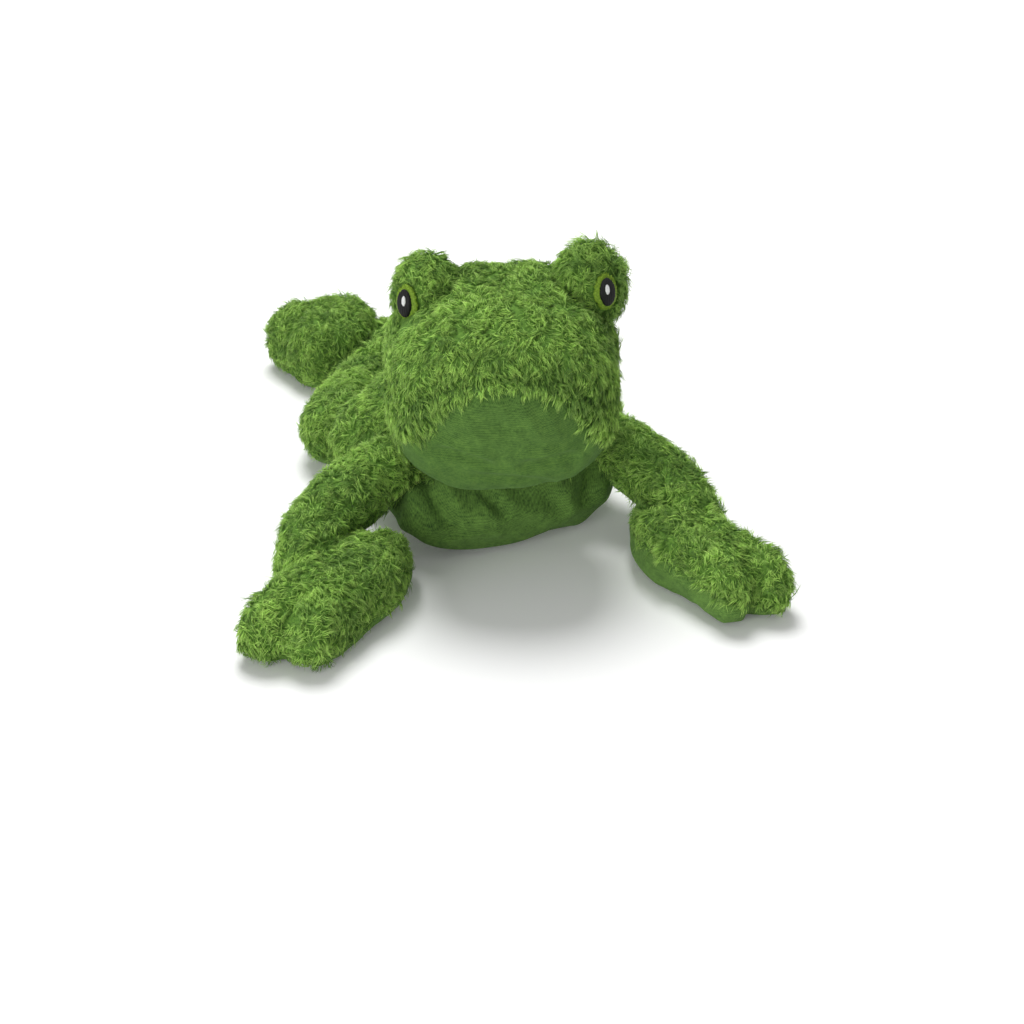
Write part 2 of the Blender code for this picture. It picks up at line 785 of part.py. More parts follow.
def build_leg(side, torso, parts, cutters, floor, colours):
    hip, knee, ankle = LEG_HIPS[side], LEG_KNEES[side], LEG_ANKLES[side]
    middle = (hip + knee) / 2
    middle_radius = (HIP_RADIUS + KNEE_RADIUS) / 2
    thigh = limb_mesh(
        side + "_thigh_form",
        [hip, middle, knee],
        [HIP_RADIUS, middle_radius, KNEE_RADIUS],
        LEG_SQUASH_SHARE,
    )
    names = [f"{side}_thigh_{piece}" for piece in ("cover", "under_cover", "filling")]
    flat = HIP_RADIUS * LEG_SQUASH_SHARE
    bag = build_limb(names, thigh, hip, knee, flat, LEG_SEAM_SHARE, parts, cutters, colours)
    bag.cuts.objects.link(floor)
    torso.clear_swing(thigh, hip, HIP_RADIUS, HIP_SWINGS[side])
    middle = (knee + ankle) / 2
    shin = limb_mesh(
        side + "_shin_form",
        [knee, middle, ankle],
        [SHIN_START_RADIUS, SHIN_START_RADIUS, ANKLE_RADIUS],
        LEG_SQUASH_SHARE,
    )
    names = [f"{side}_shin_{piece}" for piece in ("cover", "under_cover", "filling")]
    flat = KNEE_RADIUS * LEG_SQUASH_SHARE
    bag = build_limb(names, shin, knee, ankle, flat, LEG_SEAM_SHARE, parts, cutters, colours)
    bag.cuts.objects.link(floor)
    bag.clear_swing(thigh, knee, KNEE_RADIUS, KNEE_SWINGS[side], -1)
    mirror = 1 if side == "left" else -1
    foot = paw_mesh(
        side + "_foot_form",
        FOOT_CENTRES[side],
        FOOT_HEADINGS[side],
        mirror,
        FOOT_LENGTH,
        FOOT_THICKNESS,
        FOOT_RIM_SHARES,
    )
    seam = paw_seam(FOOT_CENTRES[side], FOOT_HEADINGS[side], FOOT_SEAM_HEIGHT, 0)
    paw = build_paw(side + "_foot", foot, ankle, seam, parts, cutters, floor, colours)
    paw.clear_swing(shin, ankle, ANKLE_RADIUS, ANKLE_SWINGS[side], -1)


def main():
    clear_scene()
    parts = new_collection("plush_frog")
    cutters = new_collection("cutters")
    colours = {key: fabric(*finish) for key, finish in FINISHES.items()}
    reach = CUT_OVERRUN * 2
    floor = block(
        "floor_cut",
        Matrix.Identity(4),
        Vector((-reach, -reach, -reach)),
        Vector((reach, reach, 0)),
        cutters,
    )
    torso = build_torso(parts, cutters, floor, colours)
    build_head(parts, cutters, colours)
    for side in ("left", "right"):
        build_arm(side, torso, parts, cutters, floor, colours)
        build_leg(side, torso, parts, cutters, floor, colours)


main()
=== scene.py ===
# A stuffed green frog on a white studio floor: sewn cloth bags, knit undersides,
# shaggy pile made of separate tufts, and embroidered eyes.
# Everything is in metres, +Z up, and the frog looks along -Y.

import math

import bmesh
import bpy
import numpy as np
from mathutils import Matrix, Vector
from mathutils.bvhtree import BVHTree


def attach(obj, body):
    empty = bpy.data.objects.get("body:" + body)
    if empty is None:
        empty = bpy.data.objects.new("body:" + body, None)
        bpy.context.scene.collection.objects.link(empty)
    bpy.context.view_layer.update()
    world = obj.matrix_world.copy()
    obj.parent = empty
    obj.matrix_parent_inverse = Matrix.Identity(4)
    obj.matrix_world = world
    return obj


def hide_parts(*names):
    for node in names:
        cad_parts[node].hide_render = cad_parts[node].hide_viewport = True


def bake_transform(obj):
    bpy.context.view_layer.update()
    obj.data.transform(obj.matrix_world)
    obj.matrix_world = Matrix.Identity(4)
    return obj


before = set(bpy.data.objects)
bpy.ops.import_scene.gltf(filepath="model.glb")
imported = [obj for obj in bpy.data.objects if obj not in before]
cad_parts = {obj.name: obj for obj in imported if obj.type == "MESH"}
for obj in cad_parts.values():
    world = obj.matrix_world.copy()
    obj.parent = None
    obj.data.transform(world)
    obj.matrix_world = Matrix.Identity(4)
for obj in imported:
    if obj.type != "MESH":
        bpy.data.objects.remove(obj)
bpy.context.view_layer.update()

mm = 0.001
up = np.array([0.0, 0.0, 1.0])


def curveThrough(x, y, at):
    # monotone cubic through the points (x, y): each slope is the harmonic mean of the two
    # chords beside it, or level where they point opposite ways
    x, y = np.asarray(x, float), np.asarray(y, float)
    step = np.diff(x)
    chord = np.diff(y) / step
    slope = np.zeros_like(y)
    slope[0], slope[-1] = chord[0], chord[-1]
    agree = chord[:-1] * chord[1:] > 0
    both = np.where(agree, chord[:-1] + chord[1:], 1.0)
    slope[1:-1] = np.where(agree, 2 * chord[:-1] * chord[1:] / both, 0.0)
    at = np.clip(at, x[0], x[-1])
    k = np.clip(np.searchsorted(x, at, side="right") - 1, 0, len(x) - 2)
    t = (at - x[k]) / step[k]
    a = (1 + 2 * t) * (1 - t) ** 2 * y[k] + t * (1 - t) ** 2 * step[k] * slope[k]
    b = t * t * (3 - 2 * t) * y[k + 1] - t * t * (1 - t) * step[k] * slope[k + 1]
    return a + b


def loopThrough(angles, values, at):
    # the same cubic round a closed loop of angles in degrees
    angles, values = np.asarray(angles, float), np.asarray(values, float)
    order = np.argsort(angles % 360)
    a, v = (angles % 360)[order], values[order]
    a = np.concatenate([a[-3:] - 360, a, a[:3] + 360])
    v = np.concatenate([v[-3:], v, v[:3]])
    return curveThrough(a, v, at % 360)


def turnsOf(count):
    # this many angles spread evenly round a circle
    return np.linspace(0, 2 * np.pi, count, endpoint=False)


def unit(v):
    # each vector over its length
    return v / np.maximum(np.linalg.norm(v, axis=-1, keepdims=True), 1e-12)


def ringed(stations, power, rows, around):
    # stations along Y, each (y, x, turn, half, high, middle): at each a squared oval, x = a*cos^p,
    # z = middle + h*sin^p, turned in plan. Half sizes run through the stations by their squares, so
    # the ends close round
    y, *others, half, high, middle = np.array(stations).T
    at = y[0] + (y[-1] - y[0]) * (1 - np.cos(np.pi * np.linspace(0, 1, rows))) / 2
    x, turn, middle = (curveThrough(y, each, at)[:, None] for each in (*others, middle))
    half, high = (np.sqrt(np.maximum(curveThrough(y, each ** 2, at), 0))[:, None] for each in (half, high))
    theta = turnsOf(around)
    cx, sz = (np.sign(each) * np.abs(each) ** power for each in (np.cos(theta), np.sin(theta)))
    side = half * cx
    return np.stack([x + side * np.cos(turn), at[:, None] + side * np.sin(turn), middle + high * sz], axis=-1)


def curved(a, b, c, t):
    # a*(1-t)^2 + 2*b*t*(1-t) + c*t^2
    return a * (1 - t) ** 2 + b * 2 * t * (1 - t) + c * t ** 2


def bag(path, radii, squash, rows, around, capRows):
    # a bend from start through middle to finish with a curved radius, closed by a half ball at
    # each end
    start, through, finish = path
    bend = through * 2 - (start + finish) / 2
    t = np.linspace(0, 1, rows)[:, None]
    centre = curved(start, bend, finish, t)
    ahead = unit((bend - start) * (1 - t) + (finish - bend) * t)
    radius = curved(*radii, t)
    phi = np.linspace(-np.pi / 2, 0, capRows, endpoint=False)[:, None]
    firstCap = centre[0] + ahead[0] * radius[0] * np.sin(phi)
    lastCap = centre[-1] - ahead[-1] * radius[-1] * np.sin(phi[::-1])
    centre = np.concatenate([firstCap, centre, lastCap])
    ahead = np.concatenate([np.repeat(ahead[:1], capRows, 0), ahead, np.repeat(ahead[-1:], capRows, 0)])
    radius = np.concatenate([radius[0] * np.cos(phi), radius, radius[-1] * np.cos(phi[::-1])])
    across = unit(np.cross(ahead, up))
    lift = unit(np.cross(across, ahead))
    theta = turnsOf(around)[None, :, None]
    ring = np.cos(theta) * across[:, None] + np.sin(theta) * lift[:, None] * squash
    return centre[:, None] + ring * radius[:, :, None]


def ball(centre, radius, rows, around):
    # centre + radius * (sin f cos g, sin f sin g, cos f)
    f = np.linspace(0, np.pi, rows)[:, None]
    g = turnsOf(around)[None]
    return centre + np.stack([np.sin(f) * np.cos(g), np.sin(f) * np.sin(g), np.cos(f) + g * 0], -1) * radius


def normalsOf(grid):
    # the cross of the two directions of the grid, turned outwards; a small ring takes its mean
    along = np.gradient(grid, axis=0)
    around = np.roll(grid, -1, 1) - np.roll(grid, 1, 1)
    n = unit(np.cross(around, along))
    n[0], n[-1] = n[2], n[-3]
    reach = np.linalg.norm(grid - grid.mean(1, keepdims=True), axis=-1).mean(1)[:, None, None]
    own = np.clip(reach / (10 * mm), 0, 1)
    n = unit(n * own + unit(n.mean(1, keepdims=True)) * (1 - own))
    if (n * (grid - grid.mean((0, 1)))).sum() < 0:
        n = -n
    return n


def waves(points, size, count, seed, spread=0.5):
    # a smooth random field: sines of random heading and phase, added; size is a wavelength
    rng = np.random.default_rng(seed)
    heading = unit(rng.normal(size=(count, 3)))
    scale = size * rng.uniform(1 - spread, 1 + spread, count)
    phase = rng.uniform(0, 2 * np.pi, count)
    return np.sin(points @ (heading / scale[:, None]).T * 2 * np.pi + phase).sum(-1) / math.sqrt(count / 2)


def smooth(t):
    # 0 up to t = 0, 1 from t = 1, and 3t^2 - 2t^3 between
    t = np.clip(t, 0, 1)
    return t * t * (3 - 2 * t)


def bump(distance, width):
    # a bell that is 1 at distance 0 and 1/e at the width
    return np.exp(-((distance / width) ** 2))


def opened(mesh):
    # a copy of the mesh that can be cut and turned
    shape = bmesh.new()
    shape.from_mesh(mesh)
    return shape


def meshOf(name, grid, extra=None):
    # rows of the grid joined into quads, with the first and last row closed to one point each
    rows, around = grid.shape[:2]
    verts = np.concatenate([grid[0, :1], grid[1:-1].reshape(-1, 3), grid[-1, :1]])
    j = np.arange(around)
    k = (j + 1) % around
    r = np.arange(rows - 3)[:, None] * around + 1
    quads = np.stack([r + j, r + k, r + around + k, r + around + j], -1).reshape(-1, 4)
    last = len(verts) - 1
    base = last - around
    tops = np.stack([np.zeros_like(j), k + 1, j + 1], -1)
    ends = np.stack([np.full_like(j, last), base + j, base + k], -1)
    mesh = bpy.data.meshes.new(name)
    mesh.from_pydata(verts.tolist(), [], quads.tolist() + tops.tolist() + ends.tolist())
    if extra is not None:
        layer = mesh.attributes.new("weaveAt", "FLOAT_VECTOR", "POINT")
        flat = np.concatenate([extra[0, :1], extra[1:-1].reshape(-1, 3), extra[-1, :1]])
        layer.data.foreach_set("vector", flat.astype(np.float32).ravel())
    mesh.update()
    shape = opened(mesh)
    if shape.calc_volume(signed=True) < 0:
        bmesh.ops.reverse_faces(shape, faces=shape.faces)
    shape.to_mesh(mesh)
    shape.free()
    mesh.shade_smooth()
    return mesh


def pieceOf(name, mesh, material):
    # an object in the scene with one material
    piece = bpy.data.objects.new(name, mesh)
    bpy.context.scene.collection.objects.link(piece)
    mesh.materials.clear()
    mesh.materials.append(material)
    return piece


def triples(items, key, kind=np.float32):
    # three numbers of each item, such as a point's place
    values = np.empty(len(items) * 3, kind)
    items.foreach_get(key, values)
    return values.reshape(-1, 3)


# every 4th point of each bag is blown up from inside for 20 frames, and shifts by 2.2 mm at most
stuffing = {
    "step": 4, "frames": 20, "pressure": 4.0, "growth": 0.04, "most": 2.2 * mm, "stillReach": 14 * mm,
    "settings": {"quality": 4, "mass": 0.02, "tension_stiffness": 8, "compression_stiffness": 8,
                 "shear_stiffness": 4, "bending_stiffness": 0.05, "use_pressure": True},
}


def stuffed(grid, name):
    # every 4th point of the grid is simulated as cloth blown up from inside, then the shift of
    # each point is spread back over the fine grid by weights between its four neighbours
    rows, around = grid.shape[:2]
    step = stuffing["step"]
    pick = np.unique(np.concatenate([np.arange(0, rows, step), [rows - 1]]))
    coarse = grid[pick][:, ::step]
    trial = pieceOf("trial_" + name, meshOf("trial_" + name, coarse), bpy.data.materials.new("trial"))
    cloth = trial.modifiers.new("cloth", "CLOTH")
    for setting, value in stuffing["settings"].items():
        setattr(cloth.settings, setting, value)
    cloth.settings.uniform_pressure_force = stuffing["pressure"]
    cloth.settings.shrink_min = -stuffing["growth"]
    cloth.settings.effector_weights.gravity = 0
    cloth.point_cache.frame_start = 1
    cloth.point_cache.frame_end = stuffing["frames"]
    for at in range(1, stuffing["frames"] + 1):
        bpy.context.scene.frame_set(at)
    graph = bpy.context.evaluated_depsgraph_get()
    moved = trial.evaluated_get(graph).to_mesh()
    points = triples(moved.vertices, "co")
    ends = np.repeat(points[[0, -1]][:, None], coarse.shape[1], 1)
    shift = np.concatenate([ends[:1], points[1:-1].reshape(len(pick) - 2, -1, 3), ends[1:]]) - coarse
    bpy.data.objects.remove(trial)
    bpy.context.scene.frame_set(1)
    shift -= shift.mean((0, 1))
    # the small rings next to the two ends stay still
    reach = np.linalg.norm(coarse - coarse.mean(1, keepdims=True), axis=-1).mean(1)
    shift *= smooth(reach / stuffing["stillReach"])[:, None, None]
    size = np.linalg.norm(shift, axis=-1, keepdims=True)
    shift *= stuffing["most"] / np.maximum(size, stuffing["most"])
    print(f"  {name}: stuffed, mean shift {np.minimum(size, stuffing['most']).mean() / mm:.1f} mm")
    i = np.searchsorted(pick, np.arange(rows), side="right") - 1
    i = np.clip(i, 0, len(pick) - 2)
    f = ((np.arange(rows) - pick[i]) / (pick[i + 1] - pick[i]))[:, None, None]
    j = np.arange(around) // step
    g = ((np.arange(around) % step) / step)[None, :, None]
    n = coarse.shape[1]
    j2 = (j + 1) % n
    fine = (shift[i][:, j] * (1 - f) * (1 - g) + shift[i + 1][:, j] * f * (1 - g)
            + shift[i][:, j2] * (1 - f) * g + shift[i + 1][:, j2] * f * g)
    for smoothing in range(3):
        fine = (fine + np.roll(fine, 1, 1) + np.roll(fine, -1, 1)) / 3
        fine[1:-1] = (fine[:-2] + fine[1:-1] + fine[2:]) / 3
    # the bag keeps its size: the even part of the blowing up is taken off again
    n = normalsOf(grid)
    fine -= n * (fine * n).sum(-1).mean()
    fine[0], fine[-1] = fine[1].mean(0), fine[-2].mean(0)
    return grid + fine


def newMaterial(name, colour, roughness, sheen=0.0, sheenTint=(1, 1, 1)):
    # a matt cloth with a little sheen where it is asked for
    made = bpy.data.materials.new(name)
    made.use_nodes = True
    shader = made.node_tree.nodes["Principled BSDF"]
    shader.inputs["Base Color"].default_value = (*colour, 1)
    shader.inputs["Roughness"].default_value = roughness
    shader.inputs["Specular IOR Level"].default_value = 0.25
    shader.inputs["Sheen Weight"].default_value = sheen
    shader.inputs["Sheen Roughness"].default_value = 0.5
    shader.inputs["Sheen Tint"].default_value = (*sheenTint, 1)
    return made, made.node_tree, shader


def node(tree, kind, links=None, **values):
    # a shader node: each link's value is a socket to join, or a constant
    made = tree.nodes.new("ShaderNode" + kind)
    for key, value in values.items():
        setattr(made, key, value)
    for socket, source in (links or {}).items():
        target = made.inputs[socket]
        if isinstance(source, bpy.types.NodeSocket):
            tree.links.new(source, target)
        else:
            target.default_value = source
    return made


def sums(tree, operation, *values):
    # one step of arithmetic on sockets or constants
    return node(tree, "Math", dict(enumerate(values)), operation=operation).outputs[0]


def ramp(tree, source, stops):
    # colours at places from 0 to 1, straight lines between them
    made = tree.nodes.new("ShaderNodeValToRGB")
    while len(made.color_ramp.elements) < len(stops):
        made.color_ramp.elements.new(0.5)
    for element, (place, colour) in zip(made.color_ramp.elements, stops):
        element.position = place
        element.color = (*colour, 1)
    tree.links.new(source, made.inputs["Fac"])
    return made.outputs["Color"]


def mixed(tree, factor, first, second, blend="MIX"):
    # sockets 0, 6 and 7 of the node are the factor and the two colours, and output 2 the colour
    made = node(tree, "Mix", {0: factor, 6: first, 7: second}, data_type="RGBA", blend_type=blend)
    return made.outputs[2]


pileLook = {
    # from the root to the tip: the darker root is painted shade deep in the pile, the lighter tip painted
    # highlight
    "root": (0.020, 0.066, 0.009),
    "middle": (0.160, 0.350, 0.046),
    "tip": (0.455, 0.725, 0.155),
    "darkTuft": (0.44, 0.50, 0.46),
    "lightTuft": (1.52, 1.42, 1.45),
}


def pileMaterial():
    # painted shade darkens each strand towards its root and painted highlight lightens its tip, over the pile's
    # green; each tuft is a little lighter or darker at random
    made, tree, shader = newMaterial("shaggyPile", pileLook["middle"], 0.8, 0.10, (0.75, 1, 0.5))
    tone = node(tree, "Attribute", attribute_name="tone").outputs["Fac"]
    shade = node(tree, "Attribute", attribute_name="shade").outputs["Fac"]
    body = ramp(tree, tone, [(0.0, pileLook["root"]), (0.45, pileLook["middle"]), (1.0, pileLook["tip"])])
    tuft = ramp(tree, shade, [(0.0, pileLook["darkTuft"]), (1.0, pileLook["lightTuft"])])
    tree.links.new(mixed(tree, 1.0, body, tuft, "MULTIPLY"), shader.inputs["Base Color"])
    return made


def openGroup(name, inputs, outputs):
    # an empty node group with these sockets, by name and kind, and its two end nodes
    group = bpy.data.node_groups.new(name, "ShaderNodeTree")
    for sockets, way in ((inputs, "INPUT"), (outputs, "OUTPUT")):
        for label, kind in sockets.items():
            group.interface.new_socket(label, in_out=way, socket_type="NodeSocket" + kind)
    return group, group.nodes.new("NodeGroupInput"), group.nodes.new("NodeGroupOutput")


def useGroup(tree, group, shader, bumpStrength, bumpDistance, **values):
    # the group's colour goes to the shader, and its height through a bump node to the normal
    face = tree.nodes.new("ShaderNodeGroup")
    face.node_tree = group
    for label, value in values.items():
        if isinstance(value, bpy.types.NodeSocket):
            tree.links.new(value, face.inputs[label])
        else:
            face.inputs[label].default_value = value
    tree.links.new(face.outputs["Colour"], shader.inputs["Base Color"])
    lift = node(tree, "Bump", {"Height": face.outputs["Height"], "Strength": bumpStrength,
                               "Distance": bumpDistance})
    tree.links.new(lift.outputs["Normal"], shader.inputs["Normal"])


def grainGroup():
    # noise: the low colour up to 0.3 and the high one from 0.7, and the noise itself as the height
    group, given, taken = openGroup(
        "grainFace", {"Place": "Vector", "Scale": "Float", "Detail": "Float", "Low": "Color", "High": "Color"},
        {"Colour": "Color", "Height": "Float"})
    noise = node(group, "TexNoise", {"Vector": given.outputs["Place"], "Scale": given.outputs["Scale"],
                                     "Detail": given.outputs["Detail"]}).outputs["Fac"]
    share = node(group, "MapRange", {"Value": noise, "From Min": 0.3, "From Max": 0.7}).outputs["Result"]
    group.links.new(mixed(group, share, given.outputs["Low"], given.outputs["High"]), taken.inputs["Colour"])
    group.links.new(noise, taken.inputs["Height"])
    return group


# colours, size of the grain per metre, its detail, roughness and the bump's strength and depth
grains = {
    "pileBacking": {"low": (0.070, 0.160, 0.022), "high": (0.150, 0.300, 0.045), "scale": 900, "detail": 3,
                    "rough": 0.95, "bump": (0.6, 0.0005)},
    "looseFibre": {"low": (0.62, 0.61, 0.57), "high": (0.86, 0.85, 0.82), "scale": 350, "detail": 5,
                   "rough": 0.95, "bump": (0.8, 0.001)},
    "limeThread": {"low": (0.110, 0.200, 0.012), "high": (0.260, 0.420, 0.036), "scale": 1400, "detail": 2,
                   "rough": 0.6, "bump": (0.4, 0.0002)},
    "blackThread": {"low": (0.001, 0.001, 0.001), "high": (0.005, 0.005, 0.005), "scale": 1400, "detail": 2,
                    "rough": 0.6, "bump": (0.4, 0.0002)},
    "whiteThread": {"low": (0.70, 0.70, 0.70), "high": (0.90, 0.90, 0.90), "scale": 1400, "detail": 2,
                    "rough": 0.45, "bump": (0.4, 0.0002)},
}


def grainMaterial(name, group):
    # woven ground, loose fibre or laid thread: fine streaks of light and dark
    look = grains[name]
    made, tree, shader = newMaterial(name, look["high"], look["rough"])
    useGroup(tree, group, shader, *look["bump"], Place=node(tree, "TexCoord").outputs["Object"],
             Scale=look["scale"], Detail=look["detail"], Low=(*look["low"], 1), High=(*look["high"], 1))
    return made


def knitGroup():
    # upright wales and level courses, broken up by fibre fuzz; the coordinates are in millimetres
    group, given, taken = openGroup(
        "knitFace", {"Place": "Vector", "Wale": "Float", "Fuzz": "Float", "Low": "Color", "High": "Color"},
        {"Colour": "Color", "Height": "Float"})
    place = given.outputs["Place"]
    wale = given.outputs["Wale"]
    warp = node(group, "TexNoise", {"Vector": place, "Scale": 0.35, "Detail": 2.0})
    bent = node(group, "VectorMath", {0: warp.outputs["Color"], 1: (0.5, 0.5, 0.5)}, operation="SUBTRACT")
    moved = node(group, "VectorMath", {0: bent.outputs["Vector"], "Scale": 1.2}, operation="SCALE")
    moved = node(group, "VectorMath", {0: moved.outputs["Vector"], 1: place}, operation="ADD")
    apart = node(group, "SeparateXYZ", {0: moved.outputs["Vector"]})
    rib, course = (sums(group, "SINE", sums(group, "MULTIPLY", apart.outputs[axis], wale)) for axis in "XY")
    both = sums(group, "MULTIPLY_ADD", course, 0.7, sums(group, "MULTIPLY", rib, course))
    fine = node(group, "TexNoise", {"Vector": place, "Scale": 0.85, "Detail": 3.0, "Roughness": 0.75})
    wide = node(group, "TexNoise", {"Vector": place, "Scale": 0.22, "Detail": 2.0})
    rows = sums(group, "MULTIPLY_ADD", both, 0.18, 0.5)
    fuzz, patch = (sums(group, "SUBTRACT", each.outputs["Fac"], 0.5) for each in (fine, wide))
    height = sums(group, "MULTIPLY_ADD", fuzz, given.outputs["Fuzz"], rows)
    tone = sums(group, "MULTIPLY_ADD", patch, 0.7, height)
    clipped = node(group, "Clamp", {"Value": tone}).outputs[0]
    colour = mixed(group, clipped, given.outputs["Low"], given.outputs["High"])
    group.links.new(colour, taken.inputs["Colour"])
    group.links.new(height, taken.inputs["Height"])
    return group


knitLook = {
    "low": (0.026, 0.068, 0.013),
    "high": (0.176, 0.335, 0.064),
    "paintedShadeChin": (0.132, 0.262, 0.048),    # the chin's knit, darker: painted shade under the overhanging pile
    "wale": 2 * math.pi / 1.0,        # one row of stitches every millimetre
    "fuzz": 1.3,
    "bump": (0.6, 0.0004),            # strength and depth
}


def knitMaterial(name, group, high):
    # stitches between the low colour and this high one, placed by the cloth's own coordinates
    made, tree, shader = newMaterial(name, high, 0.95, 0.08, (0.6, 1, 0.4))
    useGroup(tree, group, shader, *knitLook["bump"],
             Place=node(tree, "Attribute", attribute_name="weaveAt").outputs["Vector"],
             Wale=knitLook["wale"], Fuzz=knitLook["fuzz"], Low=(*knitLook["low"], 1), High=(*high, 1))
    return made


knitFace, grainFace = knitGroup(), grainGroup()
cloths = {
    "pile": pileMaterial(),
    "knit": knitMaterial("brushedKnit", knitFace, knitLook["high"]),
    # the chin's knit is darker than the chest's: painted shade under the overhanging pile
    "chinKnit": knitMaterial("paintedShadeChinKnit", knitFace, knitLook["paintedShadeChin"]),
    **{name: grainMaterial(name, grainFace) for name in grains},
}
print("materials made")


sewing = {
    "thickness": 0.8 * mm,       # of the cloth alone
    "seamReach": 5 * mm,         # faces this near the seam are cut along it
    "seamWidth": 2.2 * mm,       # of the dip along the seam
    "inset": (0.4, 1.9),         # how far the knit and the backing lie inside the CAD form, mm
    "seamBlend": 6 * mm,         # over which one inset turns into the other
    "wideLumps": (34 * mm, 0.6), "fineLumps": (13 * mm, 0.25),     # size and share
    "ground": 0.3 * mm,          # the lowest that cloth goes
}


def grounded(grid):
    # kept from sinking into the floor
    grid[..., 2] = np.maximum(grid[..., 2], sewing["ground"])
    return grid


def panel(name, mesh, planes, field, keep, material):
    # the part of a closed bag where keep*field > 0, cut clean along planes beside the seam, with
    # the cloth's thickness
    shape = opened(mesh)
    for place, normal in planes:
        middles = np.array([face.calc_center_median() for face in shape.faces])
        close = [face for face, away in zip(shape.faces, np.abs(field(middles))) if away < sewing["seamReach"]]
        rest = dict.fromkeys(each for face in close for each in (*face.verts, *face.edges))
        bmesh.ops.bisect_plane(shape, geom=close + list(rest), plane_co=place, plane_no=normal, dist=1e-6)
    middles = np.array([face.calc_center_median() for face in shape.faces])
    side = field(middles) * keep
    wrong = [face for face, s in zip(shape.faces, side) if s <= 0]
    bmesh.ops.delete(shape, geom=wrong, context="FACES")
    cut = bpy.data.meshes.new(name)
    shape.to_mesh(cut)
    shape.free()
    cut.shade_smooth()
    piece = pieceOf(name, cut, material)
    cloth = piece.modifiers.new("cloth", "SOLIDIFY")
    cloth.thickness = sewing["thickness"]
    cloth.offset = -1
    return piece


def trianglesOf(mesh):
    # points, their normals, and the triangles as rows of three points
    mesh.calc_loop_triangles()
    points, normals = triples(mesh.vertices, "co"), triples(mesh.vertex_normals, "vector")
    return points.astype(float), normals.astype(float), triples(mesh.loop_triangles, "vertices", np.int32)


pile = {
    "perSquareMm": 2.1,
    "length": 6.0 * mm,
    "width": 0.18 * mm,          # radius of a strand at its thickest
    "swirl": 17 * mm,            # size of the patches that lie one way
    "clump": 2.8 * mm,           # strands this close make one tuft
    "lie": np.array([0.05, 0.10, -0.62]),
    "rise": (14, 30),            # degrees off the cloth, and how far the tip droops again
    "droop": (12, 34),
    "draw": 0.65,                # share of the way that tips draw to the middle of their tuft
    "rooted": 0.4 * mm,          # depth of the root in the cloth
    "tuft": 4 * mm,              # size of what changes from tuft to tuft
    "turned": (0.75, 0.38, 0.10),          # how far patches, tufts and single strands turn the lie
    "uneven": (0.18, 0.10),                # of length, from tuft to tuft and strand to strand
    "shade": (0.5, 0.28, 0.14, 0.15),      # the middle, and by tufts, wide patches and strands
    "shortUnder": 14 * mm,       # tufts this low and lower are shorter
    "ground": 0.2 * mm,
    "mostPerPiece": 32000,
}
strandFaces = np.array([[0, 2, 1], [0, 3, 2], [0, 1, 3], [4, 1, 2], [4, 2, 3], [4, 3, 1]])
# tone along a strand: 0 at the root, where the painted shade is darkest, and 1 at the tip, where the painted
# highlight is
strandTones = np.array([0, 0.62, 0.62, 0.62, 1], np.float32)


def rooted(mesh, density, rng):
    # points spread evenly over a mesh, with their normals: each triangle has its share by area
    points, normals, faces = trianglesOf(mesh)
    corner = points[faces]
    area = np.linalg.norm(np.cross(corner[:, 1] - corner[:, 0], corner[:, 2] - corner[:, 0]), axis=1) / 2
    middles = corner.mean(1)
    wanted = area / mm ** 2 * pile["perSquareMm"] * (density(middles) if callable(density) else density)
    which = np.repeat(np.arange(len(faces)), np.floor(wanted + rng.random(len(wanted))).astype(int))
    a, b = rng.random((2, len(which)))
    fold = a + b > 1
    a, b = np.where(fold, 1 - a, a), np.where(fold, 1 - b, b)
    weights = np.stack([1 - a - b, a, b], -1)[..., None]
    return (points[faces[which]] * weights).sum(1), unit((normals[faces[which]] * weights).sum(1))


def threeWaves(points, size, count, seed):
    # a random vector field, one set of waves for each direction
    return np.stack([waves(points, size, count, seed + i) for i in range(3)], -1)


